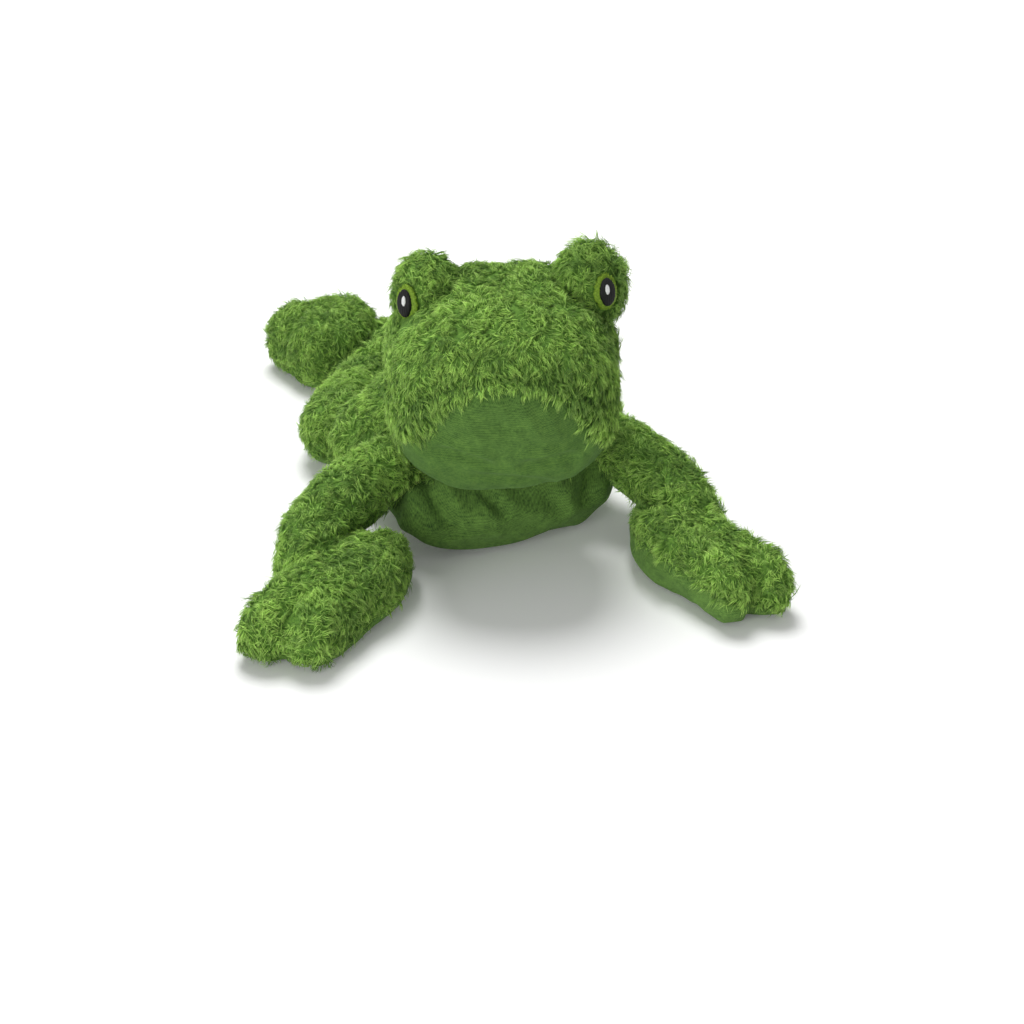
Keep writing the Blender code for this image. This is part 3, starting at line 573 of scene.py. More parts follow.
def growPile(name, mesh, carry, seed, comb=None, buried=(), bare=None, length=None, density=1.0, flat=1.0):
    # strands rooted evenly over the cloth. Each is a thin bent spindle: a root point, a ring of three
    # and a tip point, lying along a field of directions that changes from patch to patch
    rng = np.random.default_rng(seed)
    root, n = rooted(mesh, density, rng)
    keep = np.ones(len(root), bool)
    for tree, depth in buried:
        keep &= ~insideOf(tree, root, depth)
    if bare is not None:
        keep &= ~bare(root)
    root, n = root[keep], n[keep]
    count = len(root)
    # strands near one another make a tuft: they lie the same way and draw together at their tips
    cell = np.floor(root / pile["clump"] + 0.7 * threeWaves(root, 5 * mm, 7, 30))
    heart = (cell + 0.5) * pile["clump"]
    swirl = threeWaves(heart, pile["swirl"], 9, 40)
    fine = threeWaves(heart, pile["swirl"] * 0.3, 9, 60)
    byPatch, byTuft, byStrand = pile["turned"]
    lay = pile["lie"] + byPatch * swirl + byTuft * fine + rng.normal(size=(count, 3)) * byStrand
    if comb is not None:
        lay = lay + comb(root)
    lay = unit(lay - (lay * n).sum(-1, keepdims=True) * n)
    side = np.cross(n, lay)
    byTuft, byStrand = pile["uneven"]
    uneven = 1 + byTuft * waves(heart, pile["tuft"], 8, 82) + byStrand * rng.normal(size=count)
    long = pile["length"] * uneven[:, None] * np.interp(root[:, 2], [0, pile["shortUnder"]], [0.6, 1])[:, None]
    if length is not None:
        long = long * length(root)[:, None]
    rise = rng.uniform(*pile["rise"], count) + 10 * waves(heart, pile["tuft"], 8, 80)
    rise = np.radians(rise * flat)[:, None]
    droop = rise - np.radians(rng.uniform(*pile["droop"], count))[:, None]
    curl = (waves(heart, pile["tuft"], 8, 85) * 0.35 + rng.normal(size=count) * 0.08)[:, None]
    draw = heart - root
    draw = (draw - (draw * n).sum(-1, keepdims=True) * n) * pile["draw"]
    start = root - n * pile["rooted"]
    middle = start + unit(lay * np.cos(rise) + n * np.sin(rise) + side * curl) * long * 0.55 + draw * 0.45
    tip = middle + unit(lay * np.cos(droop) + n * np.sin(droop) - side * curl) * long * 0.45 + draw * 0.55
    if bare is not None:
        free = ~(bare(tip) | bare(middle))
        root, n, heart, start, middle, tip = (each[free] for each in (root, n, heart, start, middle, tip))
        count = len(root)
    thick = pile["width"] * rng.uniform(0.75, 1.25, count)[:, None]
    across = unit(np.cross(tip - start, n) + 1e-9)
    over = unit(np.cross(across, tip - start))
    spin = rng.uniform(0, 2 * np.pi, count)[:, None]
    verts = np.empty((count, 5, 3))
    verts[:, 0], verts[:, 4] = start, tip
    for k in range(3):
        turn = spin + k * 2 * np.pi / 3
        verts[:, 1 + k] = middle + (across * np.cos(turn) + over * np.sin(turn)) * thick
    verts[..., 2] = np.maximum(verts[..., 2], pile["ground"])
    middling, byTuft, byPatch, byStrand = pile["shade"]
    clump = middling + byTuft * waves(heart, 5 * mm, 8, 90) + byPatch * waves(root, 26 * mm, 6, 91)
    shade = np.clip(clump + rng.normal(size=count) * byStrand, 0, 1)
    parts = max(1, math.ceil(count / pile["mostPerPiece"]))
    for part, chosen in enumerate(np.array_split(np.arange(count), parts)):
        size = len(chosen)
        label = name if parts == 1 else f"{name}_{part + 1}"
        strands = bpy.data.meshes.new(label)
        strands.vertices.add(size * 5)
        strands.vertices.foreach_set("co", verts[chosen].astype(np.float32).ravel())
        corners = (strandFaces[None] + np.arange(size)[:, None, None] * 5).reshape(-1)
        strands.loops.add(len(corners))
        strands.loops.foreach_set("vertex_index", corners.astype(np.int32))
        strands.polygons.add(len(corners) // 3)
        strands.polygons.foreach_set("loop_start", np.arange(0, len(corners), 3, dtype=np.int32))
        strands.update(calc_edges=True)
        for layer, values in (("tone", np.tile(strandTones, size)), ("shade", np.repeat(shade[chosen], 5))):
            strands.attributes.new(layer, "FLOAT", "POINT").data.foreach_set("value", values.astype(np.float32))
        strands.shade_smooth()
        piece = pieceOf(label, strands, cloths["pile"])
        carry(piece)
    print(f"  {name}: {count} strands")


def insideOf(tree, points, depth):
    # a point is inside a bag where the nearest surface faces away from it by more than depth
    inside = np.zeros(len(points), bool)
    for i, point in enumerate(points):
        place, normal, index, distance = tree.find_nearest(point)
        inside[i] = (Vector(point) - place).dot(normal) < -depth
    return inside


def treeOf(mesh):
    # the search tree for the nearest surface
    shape = opened(mesh)
    tree = BVHTree.FromBMesh(shape)
    shape.free()
    return tree


def onBody(body):
    # rides one body, all of it
    return lambda piece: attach(piece, body)


def bending(joint, ahead):
    # the piece's place is baked into its mesh; it is not attached to any body
    joint, ahead = np.array(joint) * mm, unit(np.array(ahead, float))
    return lambda piece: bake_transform(piece)


def filler(name, grid, depth, carry, solid):
    # the loose fibre in a bag: every third point of its grid, drawn in
    rows = np.unique(np.concatenate([np.arange(0, len(grid), 3), [len(grid) - 1]]))
    coarse = grid[rows][:, ::3]
    coarse = coarse - normalsOf(coarse) * depth
    coarse[0], coarse[-1] = coarse[1].mean(0), coarse[-2].mean(0)
    piece = pieceOf(name, meshOf(name, coarse), cloths["looseFibre"])
    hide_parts(solid)
    carry(piece)


def dressed(grid, field, shape, lumps, seed, groove=1.3):
    # the CAD form drawn in to the cloth under the pile, with lumps of stuffing, folds and a
    # dip along the seam, whose distance is the field
    n = normalsOf(grid)
    flat = grid.reshape(-1, 3)
    g = field(flat).reshape(grid.shape[:2])
    low, high = sewing["inset"]
    (wide, wideShare), (fine, fineShare) = sewing["wideLumps"], sewing["fineLumps"]
    move = -(low + (high - low) * smooth(g / sewing["seamBlend"] + 0.5)) * mm
    uneven = waves(flat, wide, 8, seed) * wideShare + waves(flat, fine, 10, seed + 1) * fineShare
    move = move + (lumps * mm * uneven).reshape(g.shape)
    move = move - groove * mm * bump(g, sewing["seamWidth"])
    if shape is not None:
        move = move + shape(flat).reshape(g.shape)
    move[0], move[-1] = move[1].mean(), move[-2].mean()
    out = grid + n * move[..., None]
    out[0], out[-1] = out[0, 0], out[-1, 0]
    return grounded(out)


# turns a place so that its first two numbers run across and up the cloth as the photo shows it
weaveTurn = np.array([[1, 0, 0], [0, -0.545, 0.839], [0, 0.839, 0.545]])


torso = {
    "length": 180, "width": 136, "height": 62, "flat": 2.1, "turn": math.radians(18), "power": 0.92,
    "rings": [(-0.425, -0.003, 0.57, 0.46, 0.06, 1.0), (-0.320, 0.018, 0.82, 0.74, 0, 0.95),
              (-0.170, -0.020, 0.93, 0.92, 0, 0.85), (-0.010, -0.115, 0.99, 1.00, 0, 0.65),
              (0.160, -0.140, 0.70, 0.95, 0, 0.45), (0.340, -0.135, 0.50, 0.78, 0, 0.3),
              (0.500, -0.125, 0.32, 0.55, 0.04, 0.2)],
    "front": (-0.465, -0.010, 0.30),
    "rear": (0.570, -0.115, 0.32),
    "rows": 110, "around": 180, "tuck": 4.0,
    "folds": [                     # in picture coordinates (across, up the picture), mm
        ((-40, 8), (-20, -30), 4.2, 4.4),
        ((-54, 4), (-45, -24), 4.0, 2.4),
        ((-12, -2), (6, -20), 3.6, 3.0),
        ((20, -2), (34, -24), 4.0, 2.4),
        ((48, 10), (40, -14), 4.2, 4.0),
        ((-66, -14), (-56, -26), 9.0, -4.0),     # a fuller place, under the arm
    ],
}


def torsoGrid():
    # each ring is (along, across, width, height, lift, turn) as shares of the torso's sizes
    long, wide, high = (torso[k] * mm for k in ("length", "width", "height"))
    stations = []
    for along, across, width, height, lift, turn in torso["rings"]:
        half = high * height / 2
        stations.append((long * along, long * across, torso["turn"] * turn, wide * width / 2, half,
                         lift * high - torso["flat"] * mm + half))
    front, rear = ((long * along, long * across, stations[i][2], 0, 0, high * middle)
                   for i, (along, across, middle) in zip((0, -1), (torso["front"], torso["rear"])))
    return ringed([front, *stations, rear], torso["power"], torso["rows"], torso["around"])


turned = np.array([-math.sin(torso["turn"]), math.cos(torso["turn"]), 0])
bellySeam = {"chest": (-62 * mm, -24 * mm), "high": (45 * mm, 15 * mm), "climb": (0.6197, 0.7850)}


def bellyField(p):
    # height over the seam, which runs level at 15 mm and climbs to 45 mm over the chest
    return p[:, 2] - np.interp(p @ turned, bellySeam["chest"], bellySeam["high"])


def inPicture(p):
    # across and up the picture: x, and half of y with 0.866 of z, as seen from 30 degrees above
    return np.stack([p[:, 0], p[:, 1] * 0.5 + p[:, 2] * 0.866], -1)


def creases(lines, front):
    # each line of folds is a dip with a soft ridge on its far side
    def depth(p):
        q = inPicture(p) / mm
        total = np.zeros(len(p))
        for a, b, width, deep in lines:
            a = np.array(a, float)
            along = b - a
            t = np.clip((q - a) @ along / (along @ along), 0, 1)
            off = q - a - t[:, None] * along
            d = np.linalg.norm(off, axis=1)
            if deep < 0:
                total -= deep * bump(d, width)
                continue
            ridge = bump(d - 1.6 * width, width * 1.3) * (along[0] * off[:, 1] > along[1] * off[:, 0])
            total += np.sin(np.pi * t) ** 0.7 * deep * (0.6 * ridge - bump(d, width))
        return total * mm * front(p)
    return depth


def chestOnly(p):
    # 1 over the chest, fading out behind it and towards the ground
    return smooth((-30 * mm - p[:, 1]) / (20 * mm)) * smooth((p[:, 2] - 6 * mm) / (12 * mm))


def lowerEdge(p):
    # 1 along the chest's lower edge, fading out up the chest and under the belly
    return smooth((-45 * mm - p[:, 1]) / (20 * mm)) * smooth((20 * mm - p[:, 2]) / (14 * mm))


def chestShape(p):
    # the folds, and the lower edge drawn in by the tuck
    return creases(torso["folds"], chestOnly)(p) - torso["tuck"] * mm * lowerEdge(p)


# two level planes, and the sloping one between them, whose normal is "climb"
torsoPlanes = [((0, 0, high), (0, 0, 1)) for high in bellySeam["high"][::-1]]
torsoPlanes.append((tuple(turned * bellySeam["chest"][1] + up * bellySeam["high"][1]),
                    tuple(turned * bellySeam["climb"][0] + up * bellySeam["climb"][1])))
torsoBody = torsoGrid()
torsoSkin = dressed(torsoBody, bellyField, chestShape, 1 - lowerEdge(torsoBody.reshape(-1, 3)), 3)
torsoSkin = grounded(stuffed(torsoSkin, "torso"))


head = {
    "length": 112, "width": 112, "height": 96, "centre": (3, -64, 90), "neck": (3, -50, 60),
    "roll": math.radians(-3), "power": 0.80,
    "rings": [(-0.505, 0, 0.07, 0.07), (-0.450, 0.52, 0.25, -0.18), (-0.325, 0.84, 0.39, -0.41),
              (-0.100, 0.99, 0.49, -0.48), (0.130, 1.00, 0.52, -0.42), (0.330, 0.90, 0.485, -0.275),
              (0.440, 0.60, 0.365, -0.09), (0.490, 0, 0.12, 0.12)],
    "mouth": (9, 21, math.radians(57)),    # behind the muzzle, above the centre, and the slope
    "rows": 170, "around": 240,
    "folds": [((-32, 13), (0, 4), 2.0, 2.8), ((8, 4), (38, 10), 2.0, 2.8), ((-18, 1), (26, -3), 1.8, 1.8)],
}
headCentre = np.array(head["centre"]) * mm
neckPlace = np.array(head["neck"]) * mm
roll = np.array(Matrix.Rotation(head["roll"], 3, "Y"))


def rolled(p):
    # tipped sideways about the neck
    return (p - neckPlace) @ roll.T + neckPlace


def headGrid():
    # each ring is (along, width, top, bottom) as shares of the head's sizes
    long, wide, high = (head[k] * mm for k in ("length", "width", "height"))
    stations = [(headCentre[1] + long * along, headCentre[0], 0, wide * width / 2, high * (top - below) / 2,
                 headCentre[2] + high * (top + below) / 2) for along, width, top, below in head["rings"]]
    return rolled(ringed(stations, head["power"], head["rows"], head["around"]))


muzzle = head["length"] * head["rings"][0][0]
mouthPlace = rolled(headCentre + np.array([0, muzzle + head["mouth"][0], head["mouth"][1]]) * mm)
mouthNormal = roll @ np.array([0, math.sin(head["mouth"][2]), math.cos(head["mouth"][2])])


def mouthField(p):
    # distance above the plane of the mouth
    return (p - mouthPlace) @ mouthNormal


def belowMouth(p):
    # 1 below the mouth's plane, fading out at it
    return smooth(-mouthField(p) / (6 * mm))


headBody = headGrid()
headSkin = dressed(headBody, mouthField, creases(head["folds"], belowMouth), 0.8, 11, groove=0.3)
headSkin = stuffed(headSkin, "head")


mound = {"radius": 18, "stretch": 1.3, "spread": {"left": 43.5, "right": 33.5}, "back": 20,
         "rise": {"left": 38.5, "right": 37}, "bearing": {"left": math.radians(28), "right": math.radians(35)},
         "elevation": math.radians(10), "rows": 40, "around": 72}


def moundCentre(side):
    # beside, behind and above the head's centre
    sign = 1 if side == "left" else -1
    return headCentre + np.array([sign * mound["spread"][side], mound["back"], mound["rise"][side]]) * mm


def moundPoint(side, bearing, elevation, out=0.0):
    # a point on the stretched ball that the mound is part of, out beyond its surface
    sign = 1 if side == "left" else -1
    ray = np.stack([sign * np.sin(bearing) * np.cos(elevation), -np.cos(bearing) * np.cos(elevation),
                    mound["stretch"] * np.sin(elevation)], -1)
    return rolled(moundCentre(side) + ray * (mound["radius"] * mm + np.asarray(out)[..., None]))


def moundGrid(side, out):
    # the whole stretched ball, row by row from the top
    tilt = np.linspace(math.pi / 2, -math.pi / 2, mound["rows"])[:, None] + np.zeros(mound["around"])
    return moundPoint(side, turnsOf(mound["around"]) + tilt * 0, tilt, out + tilt * 0)


def eyeOffset(side, p):
    # where a point lies across and up the eye's oval, in mm
    sign = 1 if side == "left" else -1
    local = (p - neckPlace) @ roll + neckPlace - moundCentre(side)
    local[:, 2] /= mound["stretch"]
    ray = unit(local)
    bearing = np.arctan2(sign * ray[:, 0], -ray[:, 1])
    elevation = np.arcsin(np.clip(ray[:, 2], -1, 1))
    a = (bearing - mound["bearing"][side]) * mound["radius"] * np.cos(elevation)
    b = (elevation - mound["elevation"]) * mound["radius"] * mound["stretch"]
    return a, b


eyeClear = (6.4, 9.0)              # half of the pile-free oval's width and height, mm


def inEye(p):
    # inside the pile-free oval of either eye, whose edge is uneven
    found = np.zeros(len(p), bool)
    for side in ("left", "right"):
        a, b = eyeOffset(side, p)
        near = np.linalg.norm(p - rolled(moundCentre(side)), axis=1) < 30 * mm
        oval = (a / eyeClear[0]) ** 2 + (b / eyeClear[1]) ** 2
        found |= near & (oval < 1 + 0.15 * waves(p, 3 * mm, 6, 17))
    return found


threads = {
    "iris": {"size": (13, 18.5), "shift": (0, 0), "from": -0.6, "high": 1.5, "ridges": 64, "ragged": 0.05,
             "thread": "limeThread", "slot": "lime_thread"},
    "pupil": {"size": (7.8, 13.2), "shift": (0, 0), "from": 0.7, "high": 1.7, "ridges": 0, "ragged": 0.02,
              "thread": "blackThread", "slot": "black_thread"},
    "glint": {"size": (2.0, 4.4), "shift": (-0.6, 1.4), "from": 2.0, "high": 0.7, "ridges": 0, "ragged": 0.05,
              "thread": "whiteThread", "slot": "white_thread"},
}


stitch = {"out": 22, "back": 8, "around": 192, "spoke": 0.14, "rib": 0.07, "ribEvery": 0.35}


def embroider(side, layer):
    # a domed oval of stitches: reach runs from the middle over the rim and back underneath
    look = threads[layer]
    out, back = np.linspace(0, np.pi / 2, stitch["out"]), np.linspace(0, np.pi / 2, stitch["back"])[1:]
    reach = np.concatenate([np.sin(out), np.cos(back)])[:, None]
    over = np.concatenate([np.cos(out) ** 0.5, back * 0])[:, None]
    angle = turnsOf(stitch["around"])[None]
    circle = np.stack([np.cos(angle[0]), np.sin(angle[0]), angle[0] * 0], -1)
    rim = 1 + look["ragged"] * waves(circle, 0.12, 12, 5)[None]
    a = look["shift"][0] + np.cos(angle) * look["size"][0] / 2 * reach * rim
    b = look["shift"][1] + np.sin(angle) * look["size"][1] / 2 * reach * rim
    # threads run outwards where there are ridges, and side by side upwards elsewhere
    spokes = stitch["spoke"] * np.sin(angle * look["ridges"]) * (reach > 0.4)
    ribs = stitch["rib"] * np.sin(a / stitch["ribEvery"] * 2)
    raised = (look["from"] + look["high"] * over + (spokes if look["ridges"] else ribs) * (over > 0)) * mm
    bearing = mound["bearing"][side] + a / mound["radius"]
    elevation = mound["elevation"] + b / (mound["radius"] * mound["stretch"])
    name = f"{side}_eye_{layer}"
    mesh = meshOf(name, moundPoint(side, bearing, elevation, raised))
    piece = pieceOf(name + "_stitches", mesh, cloths[look["thread"]])
    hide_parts(name)
    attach(piece, "head")


limbKinds = {
    "arm": {"radii": (17, 19, 16), "squash": 1.0},
    "thigh": {"radii": (21.5, 19, 16.5), "squash": 0.92},
    "shin": {"radii": (14, 14, 13.5), "squash": 0.92},
}
limbGrid = {"rows": 44, "around": 72, "capRows": 14}
seamDrop = 0.35                    # of the radius: how far a limb's seam lies below its path
limbs = {                          # from the root, through a middle where there is one, to the end
    "left_arm": [(58, -30, 36), (81, -53, 28), (94, -77, 19)],
    "right_arm": [(-53, -56, 37), (-82, -91, 31), (-90, -122, 19)],
    "left_thigh": [(43, 36, 19.3), (32, 86, 14.7)],
    "right_thigh": [(-84, 23, 19.3), (-76, 77, 14.7)],
    "left_shin": [(32, 86, 14.7), (16, 134, 12)],
    "right_shin": [(-76, 77, 14.7), (-64, 132, 16)],
}


def limbParts(name):
    # the bag's grid, a field that is the height over its seam, and the path
    kind = limbKinds[name.split("_")[1]]
    path = np.array(limbs[name], float)
    if len(path) == 2:
        path = np.insert(path, 1, (path[0] + path[1]) / 2, 0)
    path = path * mm
    radii = np.array(kind["radii"]) * mm
    body = bag(path, radii, kind["squash"], **limbGrid)
    t = np.linspace(0, 1, 30)[:, None]
    centre = curved(path[0], path[1] * 2 - (path[0] + path[2]) / 2, path[2], t)
    drop = seamDrop * curved(*radii, t)[:, 0]

    def field(p):
        reach = np.linalg.norm(p[:, None, :2] - centre[None, :, :2], axis=2) ** 2
        near = np.exp(-(reach - reach.min(1, keepdims=True)) / (4 * mm) ** 2)
        near /= near.sum(1, keepdims=True)
        return p[:, 2] - near @ (centre[:, 2] - drop)
    return body, field, path


# a mitt's section as (share of the reach, share of the thickness), and its rims as (degrees, share
# of the length)
profile = [(0, 1), (0.80, 0.86), (0.985, 0.55), (1, 0.33), (0.93, 0.10), (0.72, -0.005), (0, -0.01)]
handRim = [(-154, 0.43), (-122, 0.29), (-94, 0.24), (-66, 0.27), (-47, 0.34), (-32, 0.44), (-19, 0.44),
           (-9, 0.40), (3, 0.48), (15, 0.51), (26, 0.46), (38, 0.34), (62, 0.26), (92, 0.24), (124, 0.29),
           (155, 0.43), (181, 0.58)]
footRim = [(-72, 0.53), (-50, 0.47), (-27, 0.43), (-5, 0.48), (16, 0.57), (38, 0.52), (66, 0.47), (92, 0.49),
           (118, 0.58), (145, 0.56), (175, 0.48), (205, 0.45), (240, 0.45), (264, 0.47)]
handFurrows = [(-9, 3.4 * mm, 3.4 * mm)]
footFurrows = [(-27, 2.4 * mm, 4.0 * mm), (66, 2.4 * mm, 4.0 * mm)]
# the seam is its height over the middle, its slope towards the toes and its tilt to the inner side
mitts = {
    "left_hand": {"centre": (101, -107), "heading": -50, "length": 90, "joint": (94, -77, 19),
                  "seam": (12, 5, 20)},
    "right_hand": {"centre": (-80, -141), "heading": -124, "length": 100, "joint": (-90, -122, 19),
                   "seam": (7.5, 5, 0)},
    "left_foot": {"centre": (24, 165), "heading": 82, "length": 61, "joint": (16, 134, 12),
                  "seam": (6, 0, 0)},
    "right_foot": {"centre": (-97, 127), "heading": 186, "length": 61, "joint": (-64, 132, 16),
                   "seam": (6, 0, 0)},
}
mittGridSize = {"rows": 72, "around": 144}
mittKinds = {
    "hand": {"thickness": 34 * mm, "rim": handRim, "furrows": handFurrows, "above": "_arm"},
    "foot": {"thickness": 40 * mm, "rim": footRim, "furrows": footFurrows, "above": "_shin"},
}


def mittGrid(name):
    # rim reach r(angle) through the toes and the heel; the profile runs from the crown over the rim
    # to the sole, and furrows part the toes. The right ones are the left ones' mirror image
    look, kind = mitts[name], mittKinds[name.split("_")[1]]
    length, thickness = look["length"] * mm, kind["thickness"]
    share, rise = np.array(profile).T
    run = np.concatenate([[0], np.cumsum(np.hypot(np.diff(share) * length / 2, np.diff(rise) * thickness))])
    at = run[-1] * (1 - np.cos(np.pi * np.linspace(0, 1, mittGridSize["rows"]))) / 2
    s = np.sqrt(np.maximum(curveThrough(run, share ** 2, at), 0))[:, None]
    h = curveThrough(run, rise, at)[:, None]
    bearing = np.linspace(0, 360, mittGridSize["around"], endpoint=False)
    reach = loopThrough(*np.array(kind["rim"]).T, bearing) * length
    angle = math.radians(look["heading"]) + np.radians(bearing) * (1 if "left" in name else -1)
    flat = np.stack([np.cos(angle), np.sin(angle)], -1)[None] * (s * reach)[:, :, None]
    z = h * thickness + 0 * flat[..., 0]
    for place, depth, width in kind["furrows"]:
        # a furrow fades out towards the crown's middle and towards the ground
        apart = np.radians((bearing - place + 180) % 360 - 180) * reach * s
        outer, raised = np.clip((s - 0.35) / 0.4, 0, 1), np.clip((z - 11 * mm) / (8 * mm), 0, 1)
        z = z - depth * bump(apart, width) * outer * raised
    return np.concatenate([np.array(look["centre"]) * mm + flat, z[..., None]], -1)


def soleSeam(name):
    # the sole's seam: a plane through a height over the middle, falling towards the toes by the
    # slope and rising towards the hand's inner side by the tilt
    look = mitts[name]
    high, (slope, tilt) = look["seam"][0] * mm, np.radians(look["seam"][1:])
    heading = math.radians(look["heading"])
    ahead = np.array([math.cos(heading), math.sin(heading), 0])
    inner = np.cross(ahead, up)
    normal = unit(up + ahead * math.tan(slope) - inner * math.tan(tilt))
    place = np.array([*look["centre"], 0.0]) * mm + up * high
    return place, normal


clothMeshes = {}                   # of each bag, the pile half first
trees = {}
carries = {"torso": onBody("torso"), "head": onBody("head")}


def addBag(label, skin, field, planes, solids, depth):
    # a bag's pile half and knit half, each a closed panel with the cloth's thickness, and the fibre
    # in it, for these three solids. The rows of stitches run level across the chin and the chest
    mesh = meshOf(label, skin, skin @ weaveTurn.T / mm)
    # the head's knit takes the chin's darker colour, which is painted shade
    knit = "chinKnit" if label == "head" else "knit"
    clothMeshes[label] = []
    halves = ((1, "pileBacking", "green_pile"), (-1, knit, "green_knit"))
    for solid, (side, material, slot) in zip(solids, halves):
        piece = panel(solid + "_cloth", mesh, planes, field, side, cloths[material])
        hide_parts(solid)
        clothMeshes[label].append(piece.data.copy())
        carries[label](piece)
    filler(label + "_fibre", skin, depth * mm, carries[label], solids[2])
    trees[label] = treeOf(mesh)


def addLimb(name, body, field, planes, joint, ahead, seed, under, depth):
    # a limb's or a mitt's stuffed bag, its pieces baked in place
    carries[name] = bending(joint, ahead)
    skin = grounded(stuffed(dressed(body, field, None, 0.7, seed, groove=1.0), name))
    addBag(name, skin, field, planes, [name + "_cover", name + under, name + "_filling"], depth)


addBag("torso", torsoSkin, bellyField, torsoPlanes, ["back_cover", "belly_cover", "body_filling"], 6.5)
addBag("head", headSkin, mouthField, [(tuple(mouthPlace), tuple(mouthNormal))],
       ["head_crown_cover", "head_chin_cover", "head_filling"], 3.6)

for name in limbs:
    body, field, path = limbParts(name)
    side, limb = name.split("_")
    addLimb(name, body, field, [], path[0] / mm, path[1] - path[0], len(name) + len(side) * 7,
            "_under_cover", 3.2)

for name, look in mitts.items():
    side, kind = name.split("_")
    place, normal = soleSeam(name)
    ahead = np.array([*look["centre"], look["joint"][2]], float) - np.array(look["joint"])
    addLimb(name, mittGrid(name), lambda p: (p - place) @ normal, [(tuple(place), tuple(normal))],
            look["joint"], ahead, 50 + len(name) * 3 + len(side),
            "_sole", 3.4)
print("bags made")

for side in ("left", "right"):
    label = side + "_eye_mound"
    cap = pieceOf(label + "_cloth", meshOf(label, moundGrid(side, -1.6 * mm)), cloths["pileBacking"])
    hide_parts(label)
    clothMeshes[label] = [cap.data]
    trees[label] = treeOf(cap.data)
    carries[label] = onBody("head")
    carries[label](cap)
    for layer in threads:
        embroider(side, layer)

neck = {"radius": 22.5 * mm, "sleeve": 1.03, "rows": 28, "around": 48}
neckFibre = pieceOf("neck_fibre", meshOf("neck", ball(neckPlace, neck["radius"], neck["rows"], neck["around"])),
                    cloths["looseFibre"])
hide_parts("neck_filling")
# the cloth round the neck, a closed sleeve with pile at the back and the sides
sleeveGrid = ball(neckPlace, neck["radius"] * neck["sleeve"], neck["rows"], neck["around"])
sleeve = pieceOf("neck_cloth", meshOf("neck_cloth", sleeveGrid, sleeveGrid @ weaveTurn.T / mm), cloths["knit"])
for piece, slot in ((neckFibre, "stuffing"), (sleeve, "green_knit")):
    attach(piece, "neck")


def nearby(label):
    # the bags that this one meets, so that no tuft grows inside them
    side, limb = (label + "_").split("_")[:2]
    return {
        "torso": ["head", "left_arm", "right_arm", "left_thigh", "right_thigh"],
        "head": ["torso", "left_eye_mound", "right_eye_mound"], "eye": ["head"],
        "arm": ["torso", side + "_hand"], "hand": [side + "_arm"], "thigh": ["torso", side + "_shin"],
        "shin": [side + "_thigh", side + "_foot"], "foot": [side + "_shin"],
    }[limb or side]


def muzzleComb(p):
    # down the muzzle and the cheeks, more so near the mouth
    near = smooth(1.1 - mouthField(p) / (34 * mm)) * smooth((-60 * mm - p[:, 1]) / (20 * mm))
    return -2.2 * near[:, None] * mouthNormal


dome = {
    "place": (5.5, 20),            # in picture coordinates, mm
    "half": 37.5, "tall": 20.5, "density": 1.4,
}


def cheekDensity(p):
    # the cheeks' pile hangs over the corners of the chin, which leaves a dome of knit to see
    q = inPicture(p) / mm - dome["place"]
    wide = dome["half"] * np.sqrt(np.clip(1 - (np.clip(q[:, 1], 0, None) / dome["tall"]) ** 2, 0.02, 1))
    wide = wide + 2.0 * waves(p, 7 * mm, 8, 77)
    return dome["density"] * (np.abs(q[:, 0]) > wide) * (q[:, 1] > 2 * waves(p, 6 * mm, 8, 78))


def fringeDensity(p):
    # thick along the top of the mouth only
    arch = np.abs(p[:, 0] - dome["place"][0] * mm) < dome["half"] * 0.75 * mm
    return 1.8 * arch * (mouthField(p) < 3.5 * mm) * (p[:, 1] < -60 * mm)


def fringeLength(p):
    # about 1, a quarter longer or shorter from lock to lock
    return 1.0 + 0.25 * waves(p, 7 * mm, 8, 77)


def peakLength(label):
    # the pile stands longer on the outer top corner of the left eye's mound
    side = label.split("_")[0]
    corner, centre = unit(np.array([0.75, 0, 0.66])), rolled(moundCentre(side))
    more = 0.5 if side == "left" else 0
    return lambda p: 1 + more * smooth((p - centre) @ corner / (10 * mm) - 0.6)


for seed, label in enumerate(clothMeshes, 101):
    depth = 3.0 * mm if label.endswith("mound") else 1.2 * mm
    buried = [(trees[other], depth) for other in nearby(label)]
    bare = inEye if "head" in label or "mound" in label else None
    comb = muzzleComb if label == "head" else None
    peak = peakLength(label) if label.endswith("mound") else None
    growPile(label + "_pile", clothMeshes[label][0], carries[label], seed, comb, buried, bare, peak)


def hang(p):
    # straight down over the mouth
    return -6 * mouthNormal + 0 * p


def neckDensity(p):
    # behind the chin only
    return 0.7 * (p[:, 1] > -62 * mm)


crown, chin = clothMeshes["head"]
growPile("neck_pile", sleeve.data, onBody("neck"), 97, density=neckDensity)
growPile("mouth_fringe", crown, onBody("head"), 99, hang, bare=inEye, length=fringeLength,
         density=fringeDensity, flat=0.8)
growPile("cheek_pile", chin, onBody("head"), 98, hang, bare=inEye, density=cheekDensity, flat=0.9)
print("pile grown")


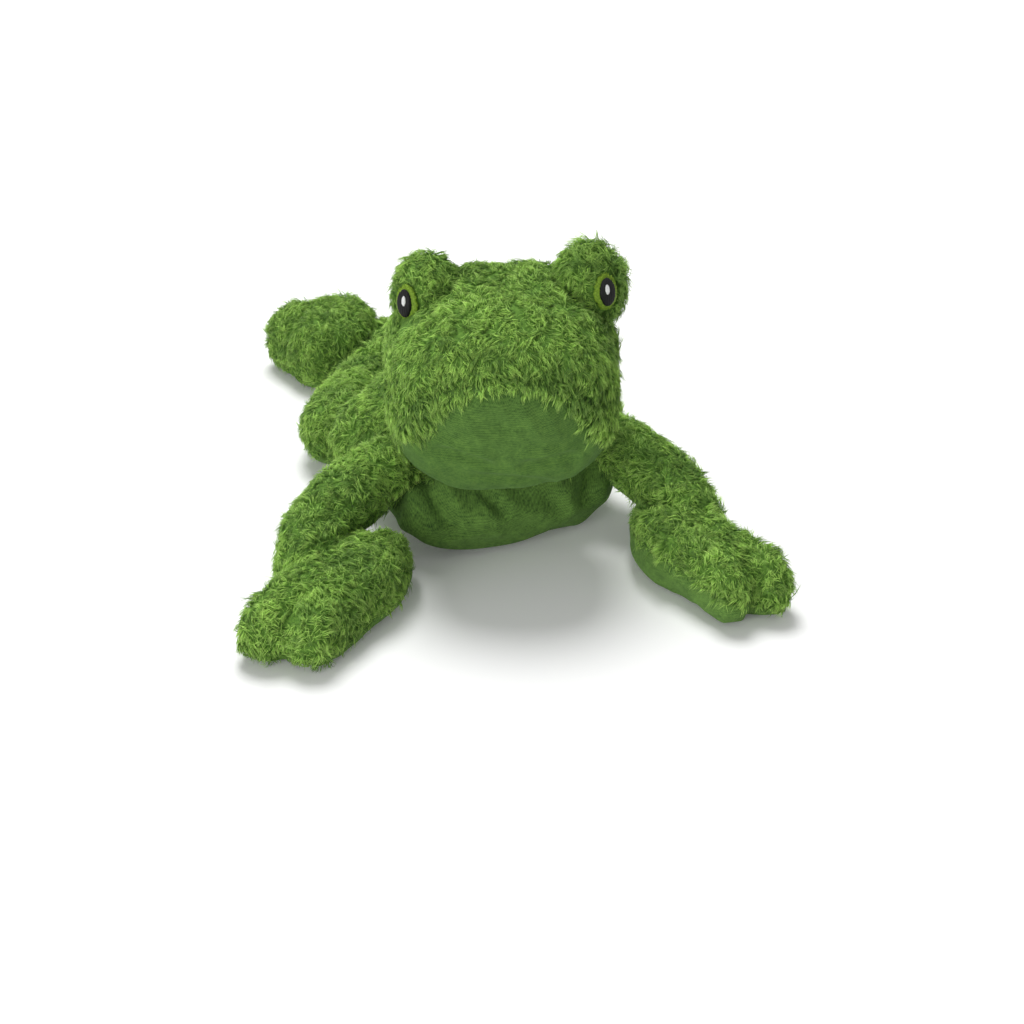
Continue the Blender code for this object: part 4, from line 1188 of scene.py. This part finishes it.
def floorMaterial():
    # a matt sheet of paper, lifted a little where the camera sees it and white far from the toy
    made, tree, shader = newMaterial("studioFloor", (0.93, 0.93, 0.93), 0.9)
    seen = node(tree, "LightPath").outputs["Is Camera Ray"]
    place = node(tree, "TexCoord").outputs["Object"]
    away = node(tree, "VectorMath", {0: place}, operation="LENGTH").outputs["Value"]
    glow = node(tree, "MapRange", {"Value": away, "From Min": 0.55, "From Max": 1.3, "To Min": 0.06,
                                   "To Max": 1.0})
    shader.inputs["Emission Color"].default_value = (1, 1, 1, 1)
    tree.links.new(sums(tree, "MULTIPLY", seen, glow.outputs["Result"]), shader.inputs["Emission Strength"])
    return made


bpy.ops.mesh.primitive_plane_add(size=6)
floor = bpy.context.object
floor.name = "floor"
floor.data.materials.append(floorMaterial())

world = bpy.data.worlds.new("studio")
bpy.context.scene.world = world
world.use_nodes = True
sky = world.node_tree
ray = node(sky, "LightPath").outputs
seen = sums(sky, "MAXIMUM", ray["Is Camera Ray"], ray["Is Glossy Ray"])
seen = sums(sky, "MAXIMUM", seen, ray["Is Transmission Ray"])
# 1.0 where the sky is seen and 0.35 as light
strength = sums(sky, "MULTIPLY_ADD", seen, 0.65, 0.35)
sky.nodes["Background"].inputs["Color"].default_value = (1, 1, 1, 1)
sky.links.new(strength, sky.nodes["Background"].inputs["Strength"])

lamps = {
    "keyLamp": {"at": (-0.25, 0.90, 2.20), "size": 1.3, "power": 52.0},
    "fillLamp": {"at": (-0.85, -1.30, 0.35), "size": 0.8, "power": 10.0},
}
for name, look in lamps.items():
    light = bpy.data.lights.new(name, "AREA")
    light.shape = "DISK"
    light.size = look["size"]
    light.energy = look["power"]
    lamp = bpy.data.objects.new(name, light)
    lamp.location = look["at"]
    lamp.rotation_euler = (-Vector(look["at"])).to_track_quat("-Z", "Y").to_euler()
    bpy.context.scene.collection.objects.link(lamp)

view = bpy.data.cameras.new("camera")
camera = bpy.data.objects.new("camera", view)
bpy.context.scene.collection.objects.link(camera)
# 30 degrees above the level, with the picture's width over its pixels per metre
shot = {"away": 1.3, "across": 0.006234, "up": -0.01662, "pixels": 1024, "perMetre": 1925}
right, upward, back = Vector((1, 0, 0)), Vector((0, 0.5, 0.8660254)), Vector((0, -0.8660254, 0.5))
spot = right * shot["across"] + upward * shot["up"] + back * shot["away"]
camera.matrix_world = Matrix.Translation(spot) @ Matrix((right, upward, back)).transposed().to_4x4()
view.sensor_width = 36
view.lens = view.sensor_width * shot["away"] / (shot["pixels"] / shot["perMetre"])
bpy.context.scene.camera = camera
bpy.context.scene.view_settings.view_transform = "Standard"
